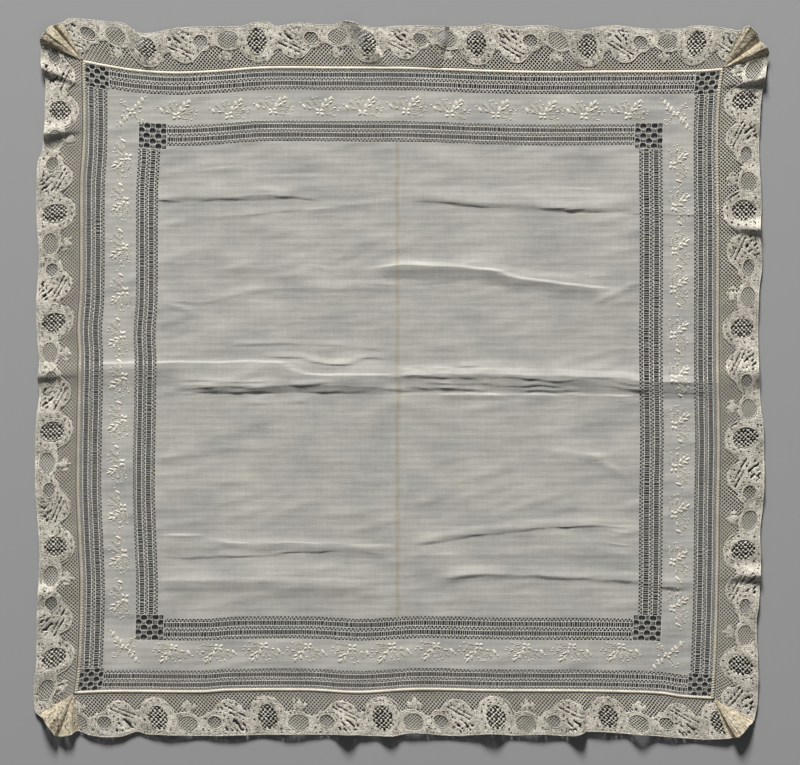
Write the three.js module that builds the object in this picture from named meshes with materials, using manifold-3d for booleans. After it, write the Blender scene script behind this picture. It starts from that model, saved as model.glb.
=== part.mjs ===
// A lady's linen handkerchief, laid out flat, face up, with its folds still in it.
//
// linen_cloth   one square of fine linen: rolled hem, two drawn-thread bands that cross at the
//               corners in eight openwork squares, and a plain creased centre
// lace_edging   one strip of bobbin lace, set round the hem as a ring, pleated at the corners
//
// Millimetres, +Z up. The cloth lies on z = 0, with its middle over the origin.

import * as THREE from "three";
import Module from "manifold-3d";

// ---------------------------------------------------------------- driving dimensions

const CLOTH_THICKNESS = 1.0;
const LACE_THICKNESS = 1.0;
const JOIN_GAP = 0.3; // between the hem and the inner edge of the lace
const CORNER_GAP = 0.4; // the same gap where the pleats spring from a corner, along x and y
const PLEAT_SPREAD = 0.16; // between the roots of two folds of a corner's pleats

// The hem before its unevenness.
const HEM = { left: -161.2, right: 158.8, bottom: -156.9, top: 155.25 };

// Distances inward from the hem's outer edge, the same on all four sides.
const ROLL_CROWN = 0.8;
const ROLL_HEIGHT = 0.45;
const BAND_STEP = 0.6; // over which the cloth thins into a band
const BAND_RECESS = 0.4;
const BANDS = [
  { from: 1.9, to: 11.3 }, // outer band, beside the hem
  { from: 27.0, to: 37.8 }, // inner band, round the centre
];

// Openwork squares where the bands cross: rows of oval holes, every other row shifted by half.
const OPENWORK = [
  { middle: 6.4, pitch: 4.3, rowPitch: 2.25, long: 2.7, wide: 2.2 },
  { middle: 32.4, pitch: 5.0, rowPitch: 2.4, long: 3.3, wide: 2.6 },
];
const OPENWORK_ROWS = [2, 3, 2, 3, 2];
const HOLE_SIDES = 6;
const CUTTER_DEPTH = 20;

// How far each side of the hem wanders outward or inward, as [place along the side, y or x].
const HEM_TOP = [
  [-161, 4.3], [-149, 2.0], [-135, -0.2], [-115, -1.5], [-93, -0.6], [-71, 1.0],
  [-37, 1.0], [1, 0.8], [41, -0.6], [69, -1.2], [99, -1.0], [146, -0.6], [162, 0.7],
];
const HEM_BOTTOM = [
  [-163, -0.8], [-141, 0.0], [-97, -0.2], [-85, 0.6], [-44, 0.7], [-19, -0.5],
  [10, 1.0], [45, 0.4], [90, 0.2], [116, -0.2], [133, -1.0], [142, -2.4], [156, -3.3],
];
const HEM_LEFT = [
  [-157, -2.5], [-150, -1.4], [-138, -0.3], [-104, 0.6], [-82, -0.3], [-54, -1.3],
  [-8, -0.6], [10, -0.3], [23, -0.9], [40, 0.3], [95, 0.6], [112, 1.7], [130, 1.9], [159, 1.4],
];
const HEM_RIGHT = [
  [-160, -2.8], [-147, -1.9], [-121, -0.8], [-95, -0.2], [-61, 0.2], [-29, 0.7],
  [5, 0.1], [78, 0.2], [120, -0.2], [142, 0.7], [155, 2.4],
];

// Outer edge of the lace, as [place along the side, y or x].
const EDGE_TOP = [
  [-169.5, 178.0], [-166, 180.1], [-158, 179.8], [-149, 178.8], [-138, 177.4], [-132, 173.2],
  [-125, 172.9], [-110, 175.6], [-79, 176.4], [-75, 178.0], [-66, 178.2], [-63, 176.2],
  [-52, 177.9], [-35, 177.0], [-28, 178.9], [-15, 175.7], [1, 176.5], [35, 176.1], [44, 177.4],
  [54, 176.1], [72, 176.6], [85, 174.1], [105, 176.6], [124, 174.9], [140, 175.1],
  [147, 176.7], [159, 175.7], [168, 173.9],
];
const EDGE_RIGHT = [
  [-171, 176.2], [-162, 178.0], [-142, 178.2], [-121, 177.5], [-112, 178.7], [-90, 179.7],
  [-78, 179.3], [-55, 181.3], [-25, 181.0], [-12, 179.5], [14, 178.4], [44, 178.8],
  [57, 180.4], [74, 179.3], [86, 180.1], [112, 178.8], [138, 179.7], [149, 181.4], [161, 183.4],
];
const EDGE_BOTTOM = [
  [-161, -176.0], [-154, -178.4], [-141, -178.9], [-132, -176.3], [-127, -177.6],
  [-93, -178.4], [-66, -177.8], [-26, -177.9], [-5, -178.5], [6, -177.0], [27, -178.5],
  [45, -177.4], [56, -178.2], [69, -177.7], [87, -178.4], [93, -176.3], [116, -177.6],
  [133, -178.9], [150, -180.2], [162, -179.8],
];
const EDGE_LEFT = [
  [-168, -182.4], [-164, -183.4], [-152, -183.8], [-145, -182.6], [-120, -182.2],
  [-101, -181.3], [-85, -180.9], [-60, -182.7], [-35, -183.0], [-20, -182.4], [-8, -181.0],
  [-1, -181.7], [8, -181.0], [23, -182.2], [38, -182.4], [60, -181.2], [82, -182.3],
  [99, -182.2], [109, -181.6], [114, -179.6], [129, -178.1], [138, -178.1], [148, -177.9],
  [157, -180.0], [167, -180.2],
];

// Pleats at each corner, in clockwise order: points of the outer edge, and how high the lace
// stands there.
const CORNER_PLEATS = {
  topRight: [
    { x: 170.4, y: 174.6, rise: 0.6 }, { x: 171.4, y: 175.6, rise: 3.6 },
    { x: 174.0, y: 176.2, rise: 4.6 }, { x: 177.6, y: 172.6, rise: 3.4 },
    { x: 179.0, y: 168.8, rise: 0.8 }, { x: 180.4, y: 167.6, rise: 3.2 },
    { x: 182.8, y: 165.4, rise: 3.6 }, { x: 183.85, y: 163.0, rise: 1.0 },
  ],
  bottomRight: [
    { x: 175.4, y: -171.8, rise: 1.2 }, { x: 173.8, y: -172.8, rise: 3.2 },
    { x: 171.6, y: -175.6, rise: 4.2 }, { x: 168.8, y: -178.6, rise: 4.6 },
    { x: 167.0, y: -178.9, rise: 3.8 }, { x: 166.0, y: -179.3, rise: 0.6 },
  ],
  bottomLeft: [
    { x: -162.8, y: -175.8, rise: 0.8 }, { x: -164.6, y: -177.6, rise: 3.0 },
    { x: -168.4, y: -178.4, rise: 3.2 }, { x: -171.6, y: -178.6, rise: 1.0 },
    { x: -173.2, y: -178.0, rise: 3.8 }, { x: -176.4, y: -173.6, rise: 4.8 },
    { x: -179.0, y: -169.2, rise: 3.6 }, { x: -180.2, y: -168.6, rise: 0.8 },
  ],
  topLeft: [
    { x: -180.6, y: 168.4, rise: 0.8 }, { x: -180.4, y: 169.4, rise: 3.8 },
    { x: -178.0, y: 173.4, rise: 4.8 }, { x: -175.4, y: 176.2, rise: 3.4 },
    { x: -174.0, y: 176.6, rise: 1.2 }, { x: -172.6, y: 177.0, rise: 3.2 },
    { x: -171.0, y: 177.6, rise: 2.8 }, { x: -170.2, y: 177.8, rise: 0.8 },
  ],
};

// Folds that run across the linen and on into the lace. The crest follows the points [x, y].
// A fold falls away over `above` on its +y side and over `below` on its -y side.
const FOLDS = [
  { height: 3.4, above: 6.5, below: 10.5, fade: 9, // the main fold, right across
    crest: [
      [-184, 3], [-120, 5], [-60, 5], [-40, 6], [-20, 4], [0, 2.5], [24, 3.5], [72, 3], [110, 2],
      [184, 1],
    ] },
  { height: 2.9, above: 5, below: 6.5, fade: 10,
    crest: [[-17, 55], [0, 56.5], [44, 54.5], [56, 51.5], [72, 49.5], [102, 45.5]] },
  { height: 1.9, above: 6, below: 2.6, fade: 12, crest: [[-124, 91], [-75, 91], [-50, 92.5]] },
  { height: 1.0, above: 3, below: 4, fade: 8, crest: [[-50, 85], [-25, 87.5], [0, 89]] },
  { height: 2.2, above: 8, below: 3, fade: 10,
    crest: [[4, 91], [28, 89.5], [56, 87.5], [90, 86], [121, 86]] },
  { height: 1.3, above: 4, below: 2.5, fade: 8,
    crest: [[-94, 39.5], [-73, 44.5], [-26, 46], [0, 47]] },
  { height: 1.0, above: 3, below: 3.5, fade: 6, crest: [[-123, 40], [-101, 32]] },
  { height: 1.2, above: 3.5, below: 3, fade: 6, crest: [[97, 37], [119, 48.5]] },
  { height: 0.9, above: 3, below: 3, fade: 6, crest: [[-123, -41], [-101, -31.5]] },
  { height: 1.1, above: 3, below: 3.5, fade: 7, crest: [[70, -36.5], [90, -38], [119, -53]] },
  { height: 2.0, above: 5, below: 5, fade: 10,
    crest: [[-124, -83.5], [-96, -83.5], [-60, -83], [-18, -85], [-4, -88]] },
  { height: 1.5, above: 4, below: 3, fade: 8,
    crest: [[6, -80.5], [36, -76.5], [66, -73], [104, -71.5]] },
  { height: 2.0, above: 4, below: 6, fade: 10, crest: [[-124, -101.5], [-70, -102], [-14, -104]] },
  { height: 1.8, above: 5, below: 3, fade: 10,
    crest: [[15, -99.5], [60, -98], [104, -99.5], [130, -101], [150, -102]] },
];

// Tucks and ripples of the lace: where the crest meets the hem and the outer edge, measured
// along the side, its height at the outer edge, and how far it falls away before and after,
// in clockwise order.
const TUCKS = {
  top: [
    { atHem: -128, atEdge: -131, rise: 2.6, before: 7, after: 3 },
    { atHem: -9, atEdge: -21, rise: 3.6, before: 12, after: 2.5 },
    { atHem: 17, atEdge: 22, rise: 3.2, before: 12, after: 2 },
    { atHem: 84, atEdge: 86, rise: 2.0, before: 7, after: 6 },
  ],
  right: [
    { atHem: 146, atEdge: 150, rise: 3.2, before: 7, after: 2 },
    { atHem: 77, atEdge: 75, rise: 2.6, before: 6, after: 4 },
    { atHem: 4, atEdge: 4, rise: 1.4, before: 8, after: 9 },
    { atHem: -96, atEdge: -98, rise: 2.6, before: 7, after: 4 },
  ],
  bottom: [
    { atHem: 122, atEdge: 119, rise: 2.8, before: 9, after: 8 },
    { atHem: 92, atEdge: 90, rise: 3.8, before: 3, after: 10 },
    { atHem: 46, atEdge: 46, rise: 2.8, before: 9, after: 9 },
    { atHem: -7, atEdge: -6, rise: 2.6, before: 7, after: 7 },
    { atHem: -28, atEdge: -28, rise: 2.8, before: 8, after: 7 },
  ],
  left: [
    { atHem: -104, atEdge: -108, rise: 1.8, before: 9, after: 7 },
    { atHem: 1, atEdge: 1, rise: 1.6, before: 2.5, after: 9 },
    { atHem: 121, atEdge: 122, rise: 3.0, before: 2.5, after: 8 },
    { atHem: 143, atEdge: 155, rise: 2.4, before: 3, after: 6 },
  ],
};
const FAN_POWER = 5; // how closely the fanning keeps to the corners
const TUCK_START = 0.15; // share of its height that a tuck has at the hem
const RIPPLE = { rise: 0.5, wavelength: 31 }; // the lace's general waviness at its outer edge

// Mesh spacing.
const LACE_STEP = 6.2;
const LACE_ROWS = [0, 0.3, 0.65, 1];
const CENTRE_COLUMNS = [{ from: -123.4, to: 121, steps: 8 }];
const CENTRE_ROWS = [
  { from: -119.1, to: -109, steps: 2 }, { from: -109, to: -94, steps: 5 },
  { from: -94, to: -68, steps: 8 }, { from: -68, to: -54, steps: 2 },
  { from: -54, to: -30, steps: 5 }, { from: -30, to: -9, steps: 2 },
  { from: -9, to: 12, steps: 8 }, { from: 12, to: 32, steps: 2 },
  { from: 32, to: 62, steps: 9 }, { from: 62, to: 82, steps: 2 },
  { from: 82, to: 99, steps: 6 }, { from: 99, to: 117.45, steps: 2 },
];

const LINEN = { color: 0xb2b2aa, roughness: 0.9, metalness: 0 };
const LACE = { color: 0xd6cfb9, roughness: 0.95, metalness: 0 };

// ---------------------------------------------------------------- small maths

const EPSILON = 1e-6;

const smoothstep = (t) => {
  const held = Math.min(Math.max(t, 0), 1);
  return held * held * (3 - 2 * held);
};

// A smooth curve through [place, value] rows, level beyond both ends.
function follow(rows, place) {
  const last = rows.length - 1;
  const held = Math.min(Math.max(place, rows[0][0]), rows[last][0]);
  const next = Math.max(1, rows.findIndex(([end]) => end >= held));
  const slope = (i) => {
    const before = rows[Math.max(i - 1, 0)];
    const after = rows[Math.min(i + 1, last)];
    return (after[1] - before[1]) / (after[0] - before[0]);
  };
  const [start, low] = rows[next - 1];
  const [end, high] = rows[next];
  const span = end - start;
  const t = (held - start) / span;
  const ease = t * t * (3 - 2 * t);
  const leaving = t * (1 - t) * (1 - t) * span * slope(next - 1);
  const arriving = t * t * (t - 1) * span * slope(next);
  return low + (high - low) * ease + leaving + arriving;
}

// ---------------------------------------------------------------- the lie of the cloth

// A point of the straight cloth, moved to where it lies.
function lie(x, y) {
  const across = (x - HEM.left) / (HEM.right - HEM.left);
  const up = (y - HEM.bottom) / (HEM.top - HEM.bottom);
  const sideways = follow(HEM_LEFT, y) * (1 - across) + follow(HEM_RIGHT, y) * across;
  const upward = follow(HEM_BOTTOM, x) * (1 - up) + follow(HEM_TOP, x) * up;
  return new THREE.Vector2(x + sideways, y + upward);
}

// Height of the folds over the surface at a place.
function folds(x, y) {
  let height = 0;
  for (const { crest, above, below, fade, height: full } of FOLDS) {
    const off = y - follow(crest, x);
    const side = smoothstep(1 - Math.abs(off) / (off > 0 ? above : below));
    const start = smoothstep((x - crest[0][0]) / fade);
    const end = smoothstep((crest[crest.length - 1][0] - x) / fade);
    height += full * side * start * end;
  }
  return height;
}

// Height of the lace's own tucks on one side, at a place along it and a share of the way out.
function tucks(side, atHem, atEdge, out, sign) {
  const place = atHem + (atEdge - atHem) * out;
  const wave = Math.sin((2 * Math.PI * place) / RIPPLE.wavelength);
  let height = RIPPLE.rise * out * (1 + wave);
  for (const tuck of TUCKS[side]) {
    const crest = tuck.atHem + (tuck.atEdge - tuck.atHem) * out;
    const off = (place - crest) * sign;
    const slope = smoothstep(1 - Math.abs(off) / (off < 0 ? tuck.before : tuck.after));
    height += tuck.rise * slope * (TUCK_START + (1 - TUCK_START) * out);
  }
  return height;
}

// ---------------------------------------------------------------- closed sheets

// A closed sheet from rows of points { x, y, z, thickness }: lines[i][j] with i running round
// or across and j to its left. A ring joins its last line to its first.
function sheet(lines, ring) {
  const across = lines[0].length;
  const upper = lines.flat().map((p) => [p.x, p.y, p.z + p.thickness]);
  const lower = lines.flat().map((p) => [p.x, p.y, p.z]);
  const under = upper.length;
  const at = (i, j) => (i % lines.length) * across + j;
  const faces = [];
  const quad = (a, b, c, d) => faces.push(a, b, c, a, c, d);
  const spans = ring ? lines.length : lines.length - 1;
  for (let i = 0; i < spans; i += 1) {
    for (let j = 0; j < across - 1; j += 1) {
      quad(at(i, j), at(i + 1, j), at(i + 1, j + 1), at(i, j + 1));
      quad(under + at(i, j + 1), under + at(i + 1, j + 1), under + at(i + 1, j), under + at(i, j));
    }
    const far = across - 1;
    quad(under + at(i, 0), under + at(i + 1, 0), at(i + 1, 0), at(i, 0));
    quad(at(i, far), at(i + 1, far), under + at(i + 1, far), under + at(i, far));
  }
  if (!ring) {
    const last = lines.length - 1;
    for (let j = 0; j < across - 1; j += 1) {
      quad(at(0, j), at(0, j + 1), under + at(0, j + 1), under + at(0, j));
      quad(under + at(last, j), under + at(last, j + 1), at(last, j + 1), at(last, j));
    }
  }
  return geometryOf([...upper, ...lower].flat(), faces);
}

function geometryOf(positions, faces) {
  const geometry = new THREE.BufferGeometry();
  geometry.setAttribute("position", new THREE.Float32BufferAttribute(positions, 3));
  geometry.setIndex(faces);
  return geometry;
}

// ---------------------------------------------------------------- linen cloth

// Grid lines from one hem to the other: the hem's and bands' lines, then the centre's own.
function gridLines(low, high, centre) {
  const inward = [0, ROLL_CROWN];
  for (const band of BANDS) {
    inward.push(band.from, band.from + BAND_STEP, band.to - BAND_STEP, band.to);
  }
  return [...inward.map((d) => low + d), ...centre, ...inward.map((d) => high - d).reverse()];
}

// Thickness of the cloth at a distance inward from the nearest hem.
function clothThickness(inward) {
  const roll = ROLL_HEIGHT * smoothstep(1 - Math.abs(inward - ROLL_CROWN) / ROLL_CROWN);
  const thinned = BANDS.map(({ from, to }) =>
    Math.min(smoothstep((inward - from) / BAND_STEP), smoothstep((to - inward) / BAND_STEP)),
  );
  return CLOTH_THICKNESS + roll - BAND_RECESS * Math.max(...thinned);
}

const centreLines = (spans) =>
  spans
    .flatMap(({ from, to, steps }) =>
      Array.from({ length: steps }, (_, i) => from + ((to - from) * (i + 1)) / steps),
    )
    .slice(0, -1);

const COLUMN_LINES = gridLines(HEM.left, HEM.right, centreLines(CENTRE_COLUMNS));
const ROW_LINES = gridLines(HEM.bottom, HEM.top, centreLines(CENTRE_ROWS));

function clothSheet() {
  const lines = COLUMN_LINES.map((x) =>
    ROW_LINES.map((y) => {
      const inward = Math.min(x - HEM.left, HEM.right - x, y - HEM.bottom, HEM.top - y);
      const place = lie(x, y);
      const z = folds(place.x, place.y);
      return { x: place.x, y: place.y, z, thickness: clothThickness(inward) };
    }),
  );
  return sheet(lines, false);
}

// One oval hole's cutter, upright through the cloth.
function holeCutter(middleX, middleY, long, wide) {
  const outline = Array.from({ length: HOLE_SIDES }, (_, i) => {
    const turn = (2 * Math.PI * i) / HOLE_SIDES;
    return lie(middleX + (long / 2) * Math.cos(turn), middleY + (wide / 2) * Math.sin(turn));
  });
  const cutter = new THREE.ExtrudeGeometry(new THREE.Shape(outline), {
    depth: CUTTER_DEPTH,
    bevelEnabled: false,
  });
  return cutter.translate(0, 0, -CUTTER_DEPTH / 2);
}

function openworkCutters() {
  const cutters = [];
  for (const { middle, pitch, rowPitch, long, wide } of OPENWORK) {
    for (const x of [HEM.left + middle, HEM.right - middle]) {
      for (const y of [HEM.bottom + middle, HEM.top - middle]) {
        OPENWORK_ROWS.forEach((holes, row) => {
          const up = (row - (OPENWORK_ROWS.length - 1) / 2) * rowPitch;
          for (let i = 0; i < holes; i += 1) {
            const along = (i - (holes - 1) / 2) * pitch;
            cutters.push(holeCutter(x + along, y + up, long, wide));
          }
        });
      }
    }
  }
  return cutters;
}

// ---------------------------------------------------------------- lace edging

// Places along one side of the lace: even steps, with the crest and foot of each tuck.
function stations(side, from, to) {
  const sign = Math.sign(to - from);
  const count = Math.round(Math.abs(to - from) / LACE_STEP);
  const even = Array.from({ length: count + 1 }, (_, i) => from + ((to - from) * i) / count);
  const special = TUCKS[side].flatMap(({ atEdge, after }) => [atEdge, atEdge + sign * after]);
  const nearest = (place) => Math.min(...special.map((s) => Math.abs(s - place)));
  const isEnd = (place) => place === from || place === to;
  const kept = even.filter((place) => isEnd(place) || nearest(place) > LACE_STEP / 3);
  return [...kept, ...special].sort((a, b) => (a - b) * sign);
}

// A point of the hem's straight-sided outline, at a place between two grid lines.
function hemPoint(gridLines, place, pointAt) {
  const next = Math.max(1, gridLines.findIndex((line) => line >= place - EPSILON));
  const [start, end] = [gridLines[next - 1], gridLines[next]];
  return pointAt(start).lerp(pointAt(end), (place - start) / (end - start));
}

// A line of lace points from its inner edge to its outer edge.
function laceLine(inner, outer, rise) {
  return LACE_ROWS.map((out) => {
    const x = inner.x + (outer.x - inner.x) * out;
    const y = inner.y + (outer.y - inner.y) * out;
    return { x, y, z: folds(x, y) + rise(out), thickness: LACE_THICKNESS };
  });
}

// Lines for one side. Towards both ends the lace fans out, so that its places on the hem lie
// closer together than those on its outer edge.
function laceSide({ side, edge, from, to, hemLine, normal, hemFrom, hemTo }) {
  const alongX = normal.x === 0;
  const sign = Math.sign(to - from);
  return stations(side, from, to).map((place) => {
    const share = (place - from) / (to - from);
    const nearStart = share < 1 / 2;
    const pull = nearStart ? hemFrom - from : hemTo - to;
    const atHem = place + pull * Math.abs(2 * share - 1) ** FAN_POWER;
    const edgeAt = follow(edge, place);
    const outer = alongX ? new THREE.Vector2(place, edgeAt) : new THREE.Vector2(edgeAt, place);
    const hem = alongX
      ? hemPoint(COLUMN_LINES, atHem, (x) => lie(x, hemLine))
      : hemPoint(ROW_LINES, atHem, (y) => lie(hemLine, y));
    const inner = hem.addScaledVector(normal, JOIN_GAP);
    return laceLine(inner, outer, (out) => tucks(side, atHem, place, out, sign));
  });
}

// Lines for the pleats of one corner, which all spring from the hem's corner.
function laceCorner(pleats, hemX, hemY) {
  const middle = (pleats.length - 1) / 2;
  const node = lie(hemX, hemY);
  const out = new THREE.Vector2(Math.sign(hemX), Math.sign(hemY)).multiplyScalar(CORNER_GAP);
  const clockwise = new THREE.Vector2(Math.sign(hemY), -Math.sign(hemX)).normalize();
  return pleats.map(({ x, y, rise }, i) => {
    const inner = node.clone().add(out).addScaledVector(clockwise, (i - middle) * PLEAT_SPREAD);
    return laceLine(inner, new THREE.Vector2(x, y), (share) => rise * share);
  });
}

function laceRing() {
  const { left, right, bottom, top } = HEM;
  const towards = (x, y) => new THREE.Vector2(x, y);
  const sides = {
    top: { edge: EDGE_TOP, from: -169.2, to: 169, hemFrom: left, hemTo: right },
    right: { edge: EDGE_RIGHT, from: 161, to: -170, hemFrom: top, hemTo: bottom },
    bottom: { edge: EDGE_BOTTOM, from: 163, to: -161, hemFrom: right, hemTo: left },
    left: { edge: EDGE_LEFT, from: -167, to: 167, hemFrom: bottom, hemTo: top },
  };
  return sheet(
    [
      ...laceSide({ side: "top", hemLine: top, normal: towards(0, 1), ...sides.top }),
      ...laceCorner(CORNER_PLEATS.topRight, right, top),
      ...laceSide({ side: "right", hemLine: right, normal: towards(1, 0), ...sides.right }),
      ...laceCorner(CORNER_PLEATS.bottomRight, right, bottom),
      ...laceSide({ side: "bottom", hemLine: bottom, normal: towards(0, -1), ...sides.bottom }),
      ...laceCorner(CORNER_PLEATS.bottomLeft, left, bottom),
      ...laceSide({ side: "left", hemLine: left, normal: towards(-1, 0), ...sides.left }),
      ...laceCorner(CORNER_PLEATS.topLeft, left, top),
    ],
    true,
  );
}

// ---------------------------------------------------------------- cutting

const wasm = await Module();
wasm.setup();

function solidOf(geometry) {
  const places = geometry.getAttribute("position");
  const seen = new Map();
  const vertProperties = [];
  const merged = Array.from({ length: places.count }, (_, i) => {
    const point = [places.getX(i), places.getY(i), places.getZ(i)];
    const key = point.map((value) => value.toFixed(4)).join();
    if (!seen.has(key)) {
      seen.set(key, vertProperties.length / 3);
      vertProperties.push(...point);
    }
    return seen.get(key);
  });
  const corners = geometry.index ? Array.from(geometry.index.array) : merged.map((_, i) => i);
  return new wasm.Manifold(
    new wasm.Mesh({
      numProp: 3,
      vertProperties: new Float32Array(vertProperties),
      triVerts: new Uint32Array(corners.map((i) => merged[i])),
    }),
  );
}

function cut(geometry, cutters) {
  const solid = cutters.reduce((left, cutter) => left.subtract(solidOf(cutter)), solidOf(geometry));
  const mesh = solid.getMesh();
  return geometryOf(Array.from(mesh.vertProperties), Array.from(mesh.triVerts));
}

// ---------------------------------------------------------------- the handkerchief

function piece(name, geometry, look) {
  geometry.computeVertexNormals();
  const mesh = new THREE.Mesh(geometry, new THREE.MeshStandardMaterial(look));
  mesh.name = name;
  return mesh;
}

const handkerchief = new THREE.Group();
handkerchief.add(
  piece("linen_cloth", cut(clothSheet(), openworkCutters()), LINEN),
  piece("lace_edging", laceRing(), LACE),
);

export default handkerchief;
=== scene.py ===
"""A lady's linen handkerchief, laid flat: drawn-thread bands, openwork corner squares, whitework
sprays and a bobbin-lace edging gathered into pleats at the corners.

Lengths are in millimetres until a mesh is made, and METRES turns them into Blender's metres.
Cloth coordinates (x, y) are those of the cloth before its unevenness; lie() gives where a point
really is. Lace coordinates are s, the way round clockwise, and b, the way out from the hem.
"""

import math

import bpy
import numpy as np
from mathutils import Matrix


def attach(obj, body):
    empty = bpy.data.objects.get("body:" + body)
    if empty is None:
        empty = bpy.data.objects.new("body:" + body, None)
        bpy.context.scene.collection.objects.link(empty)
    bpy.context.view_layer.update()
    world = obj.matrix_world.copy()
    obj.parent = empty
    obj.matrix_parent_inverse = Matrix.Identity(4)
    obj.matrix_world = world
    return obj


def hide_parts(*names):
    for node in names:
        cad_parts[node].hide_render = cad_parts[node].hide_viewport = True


METRES = 0.001
BODY = "root"
UP = np.array([0.0, 0.0, 1.0])

# ---------------------------------------------------------------- sizes shared with the solids

# The hem before its unevenness.
HEM = {"left": -161.2, "right": 158.8, "bottom": -156.9, "top": 155.25}
# How far in from the hem's outer edge each drawn-thread band starts and ends, side by side.
OUTER_BAND = {"top": (1.5, 11.7), "bottom": (1.5, 11.3), "left": (1.5, 12.4), "right": (1.7, 12.6)}
INNER_BAND = {
    "top": (27.2, 37.4), "bottom": (26.5, 37.4), "left": (28.2, 39.0), "right": (28.3, 39.9),
}
# The axis along each side of the cloth, and the sides at the low and the high end of each axis.
AXIS = {"top": "x", "bottom": "x", "left": "y", "right": "y"}
ENDS = {"x": ("left", "right"), "y": ("bottom", "top")}
JOIN_GAP = 0.3  # between the hem and the inner edge of the lace
CORNER_GAP = 0.4  # the same gap where the pleats spring from a corner, along x and y
PLEAT_SPREAD = 0.16  # between the roots of two folds of a corner's pleats

# How far each side of the hem really lies from its straight line: place along it, distance.
HEM_TOP = [
    [-161, 4.3], [-149, 2.0], [-135, -0.2], [-115, -1.5], [-93, -0.6], [-71, 1.0],
    [-37, 1.0], [1, 0.8], [41, -0.6], [69, -1.2], [99, -1.0], [146, -0.6], [162, 0.7],
]
HEM_BOTTOM = [
    [-163, -0.8], [-141, 0.0], [-97, -0.2], [-85, 0.6], [-44, 0.7], [-19, -0.5],
    [10, 1.0], [45, 0.4], [90, 0.2], [116, -0.2], [133, -1.0], [142, -2.4], [156, -3.3],
]
HEM_LEFT = [
    [-157, -2.5], [-150, -1.4], [-138, -0.3], [-104, 0.6], [-82, -0.3], [-54, -1.3],
    [-8, -0.6], [10, -0.3], [23, -0.9], [40, 0.3], [95, 0.6], [112, 1.7], [130, 1.9], [159, 1.4],
]
HEM_RIGHT = [
    [-160, -2.8], [-147, -1.9], [-121, -0.8], [-95, -0.2], [-61, 0.2], [-29, 0.7],
    [5, 0.1], [78, 0.2], [120, -0.2], [142, 0.7], [155, 2.4],
]

# The outer edge of the lace on each side: place along the side, then x or y of the edge.
EDGE_TOP = [
    [-169.5, 178.0], [-166, 180.1], [-158, 179.8], [-149, 178.8], [-138, 177.4], [-132, 173.2],
    [-125, 172.9], [-110, 175.6], [-79, 176.4], [-75, 178.0], [-66, 178.2], [-63, 176.2],
    [-52, 177.9], [-35, 177.0], [-28, 178.9], [-15, 175.7], [1, 176.5], [35, 176.1], [44, 177.4],
    [54, 176.1], [72, 176.6], [85, 174.1], [105, 176.6], [124, 174.9], [140, 175.1],
    [147, 176.7], [159, 175.7], [168, 173.9],
]
EDGE_RIGHT = [
    [-171, 176.2], [-162, 178.0], [-142, 178.2], [-121, 177.5], [-112, 178.7], [-90, 179.7],
    [-78, 179.3], [-55, 181.3], [-25, 181.0], [-12, 179.5], [14, 178.4], [44, 178.8],
    [57, 180.4], [74, 179.3], [86, 180.1], [112, 178.8], [138, 179.7], [149, 181.4], [161, 183.4],
]
EDGE_BOTTOM = [
    [-161, -176.0], [-154, -178.4], [-141, -178.9], [-132, -176.3], [-127, -177.6],
    [-93, -178.4], [-66, -177.8], [-26, -177.9], [-5, -178.5], [6, -177.0], [27, -178.5],
    [45, -177.4], [56, -178.2], [69, -177.7], [87, -178.4], [93, -176.3], [116, -177.6],
    [133, -178.9], [150, -180.2], [162, -179.8],
]
EDGE_LEFT = [
    [-168, -182.4], [-164, -183.4], [-152, -183.8], [-145, -182.6], [-120, -182.2],
    [-101, -181.3], [-85, -180.9], [-60, -182.7], [-35, -183.0], [-20, -182.4], [-8, -181.0],
    [-1, -181.7], [8, -181.0], [23, -182.2], [38, -182.4], [60, -181.2], [82, -182.3],
    [99, -182.2], [109, -181.6], [114, -179.6], [129, -178.1], [138, -178.1], [148, -177.9],
    [157, -180.0], [167, -180.2],
]

# Each corner's pleats in clockwise order: x, y of the outer edge and how high the lace stands.
PLEATS = {
    "top_right": [
        (170.4, 174.6, 0.6), (171.4, 175.6, 3.6), (174.0, 176.2, 4.6), (177.6, 172.6, 3.4),
        (179.0, 168.8, 0.8), (180.4, 167.6, 3.2), (182.8, 165.4, 3.6), (183.85, 163.0, 1.0),
    ],
    "bottom_right": [
        (175.4, -171.8, 1.2), (173.8, -172.8, 3.2), (171.6, -175.6, 4.2), (168.8, -178.6, 4.6),
        (167.0, -178.9, 3.8), (166.0, -179.3, 0.6),
    ],
    "bottom_left": [
        (-162.8, -175.8, 0.8), (-164.6, -177.6, 3.0), (-168.4, -178.4, 3.2),
        (-171.6, -178.6, 1.0), (-173.2, -178.0, 3.8), (-176.4, -173.6, 4.8),
        (-179.0, -169.2, 3.6), (-180.2, -168.6, 0.8),
    ],
    "top_left": [
        (-180.6, 168.4, 0.8), (-180.4, 169.4, 3.8), (-178.0, 173.4, 4.8), (-175.4, 176.2, 3.4),
        (-174.0, 176.6, 1.2), (-172.6, 177.0, 3.2), (-171.0, 177.6, 2.8), (-170.2, 177.8, 0.8),
    ],
}

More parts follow.
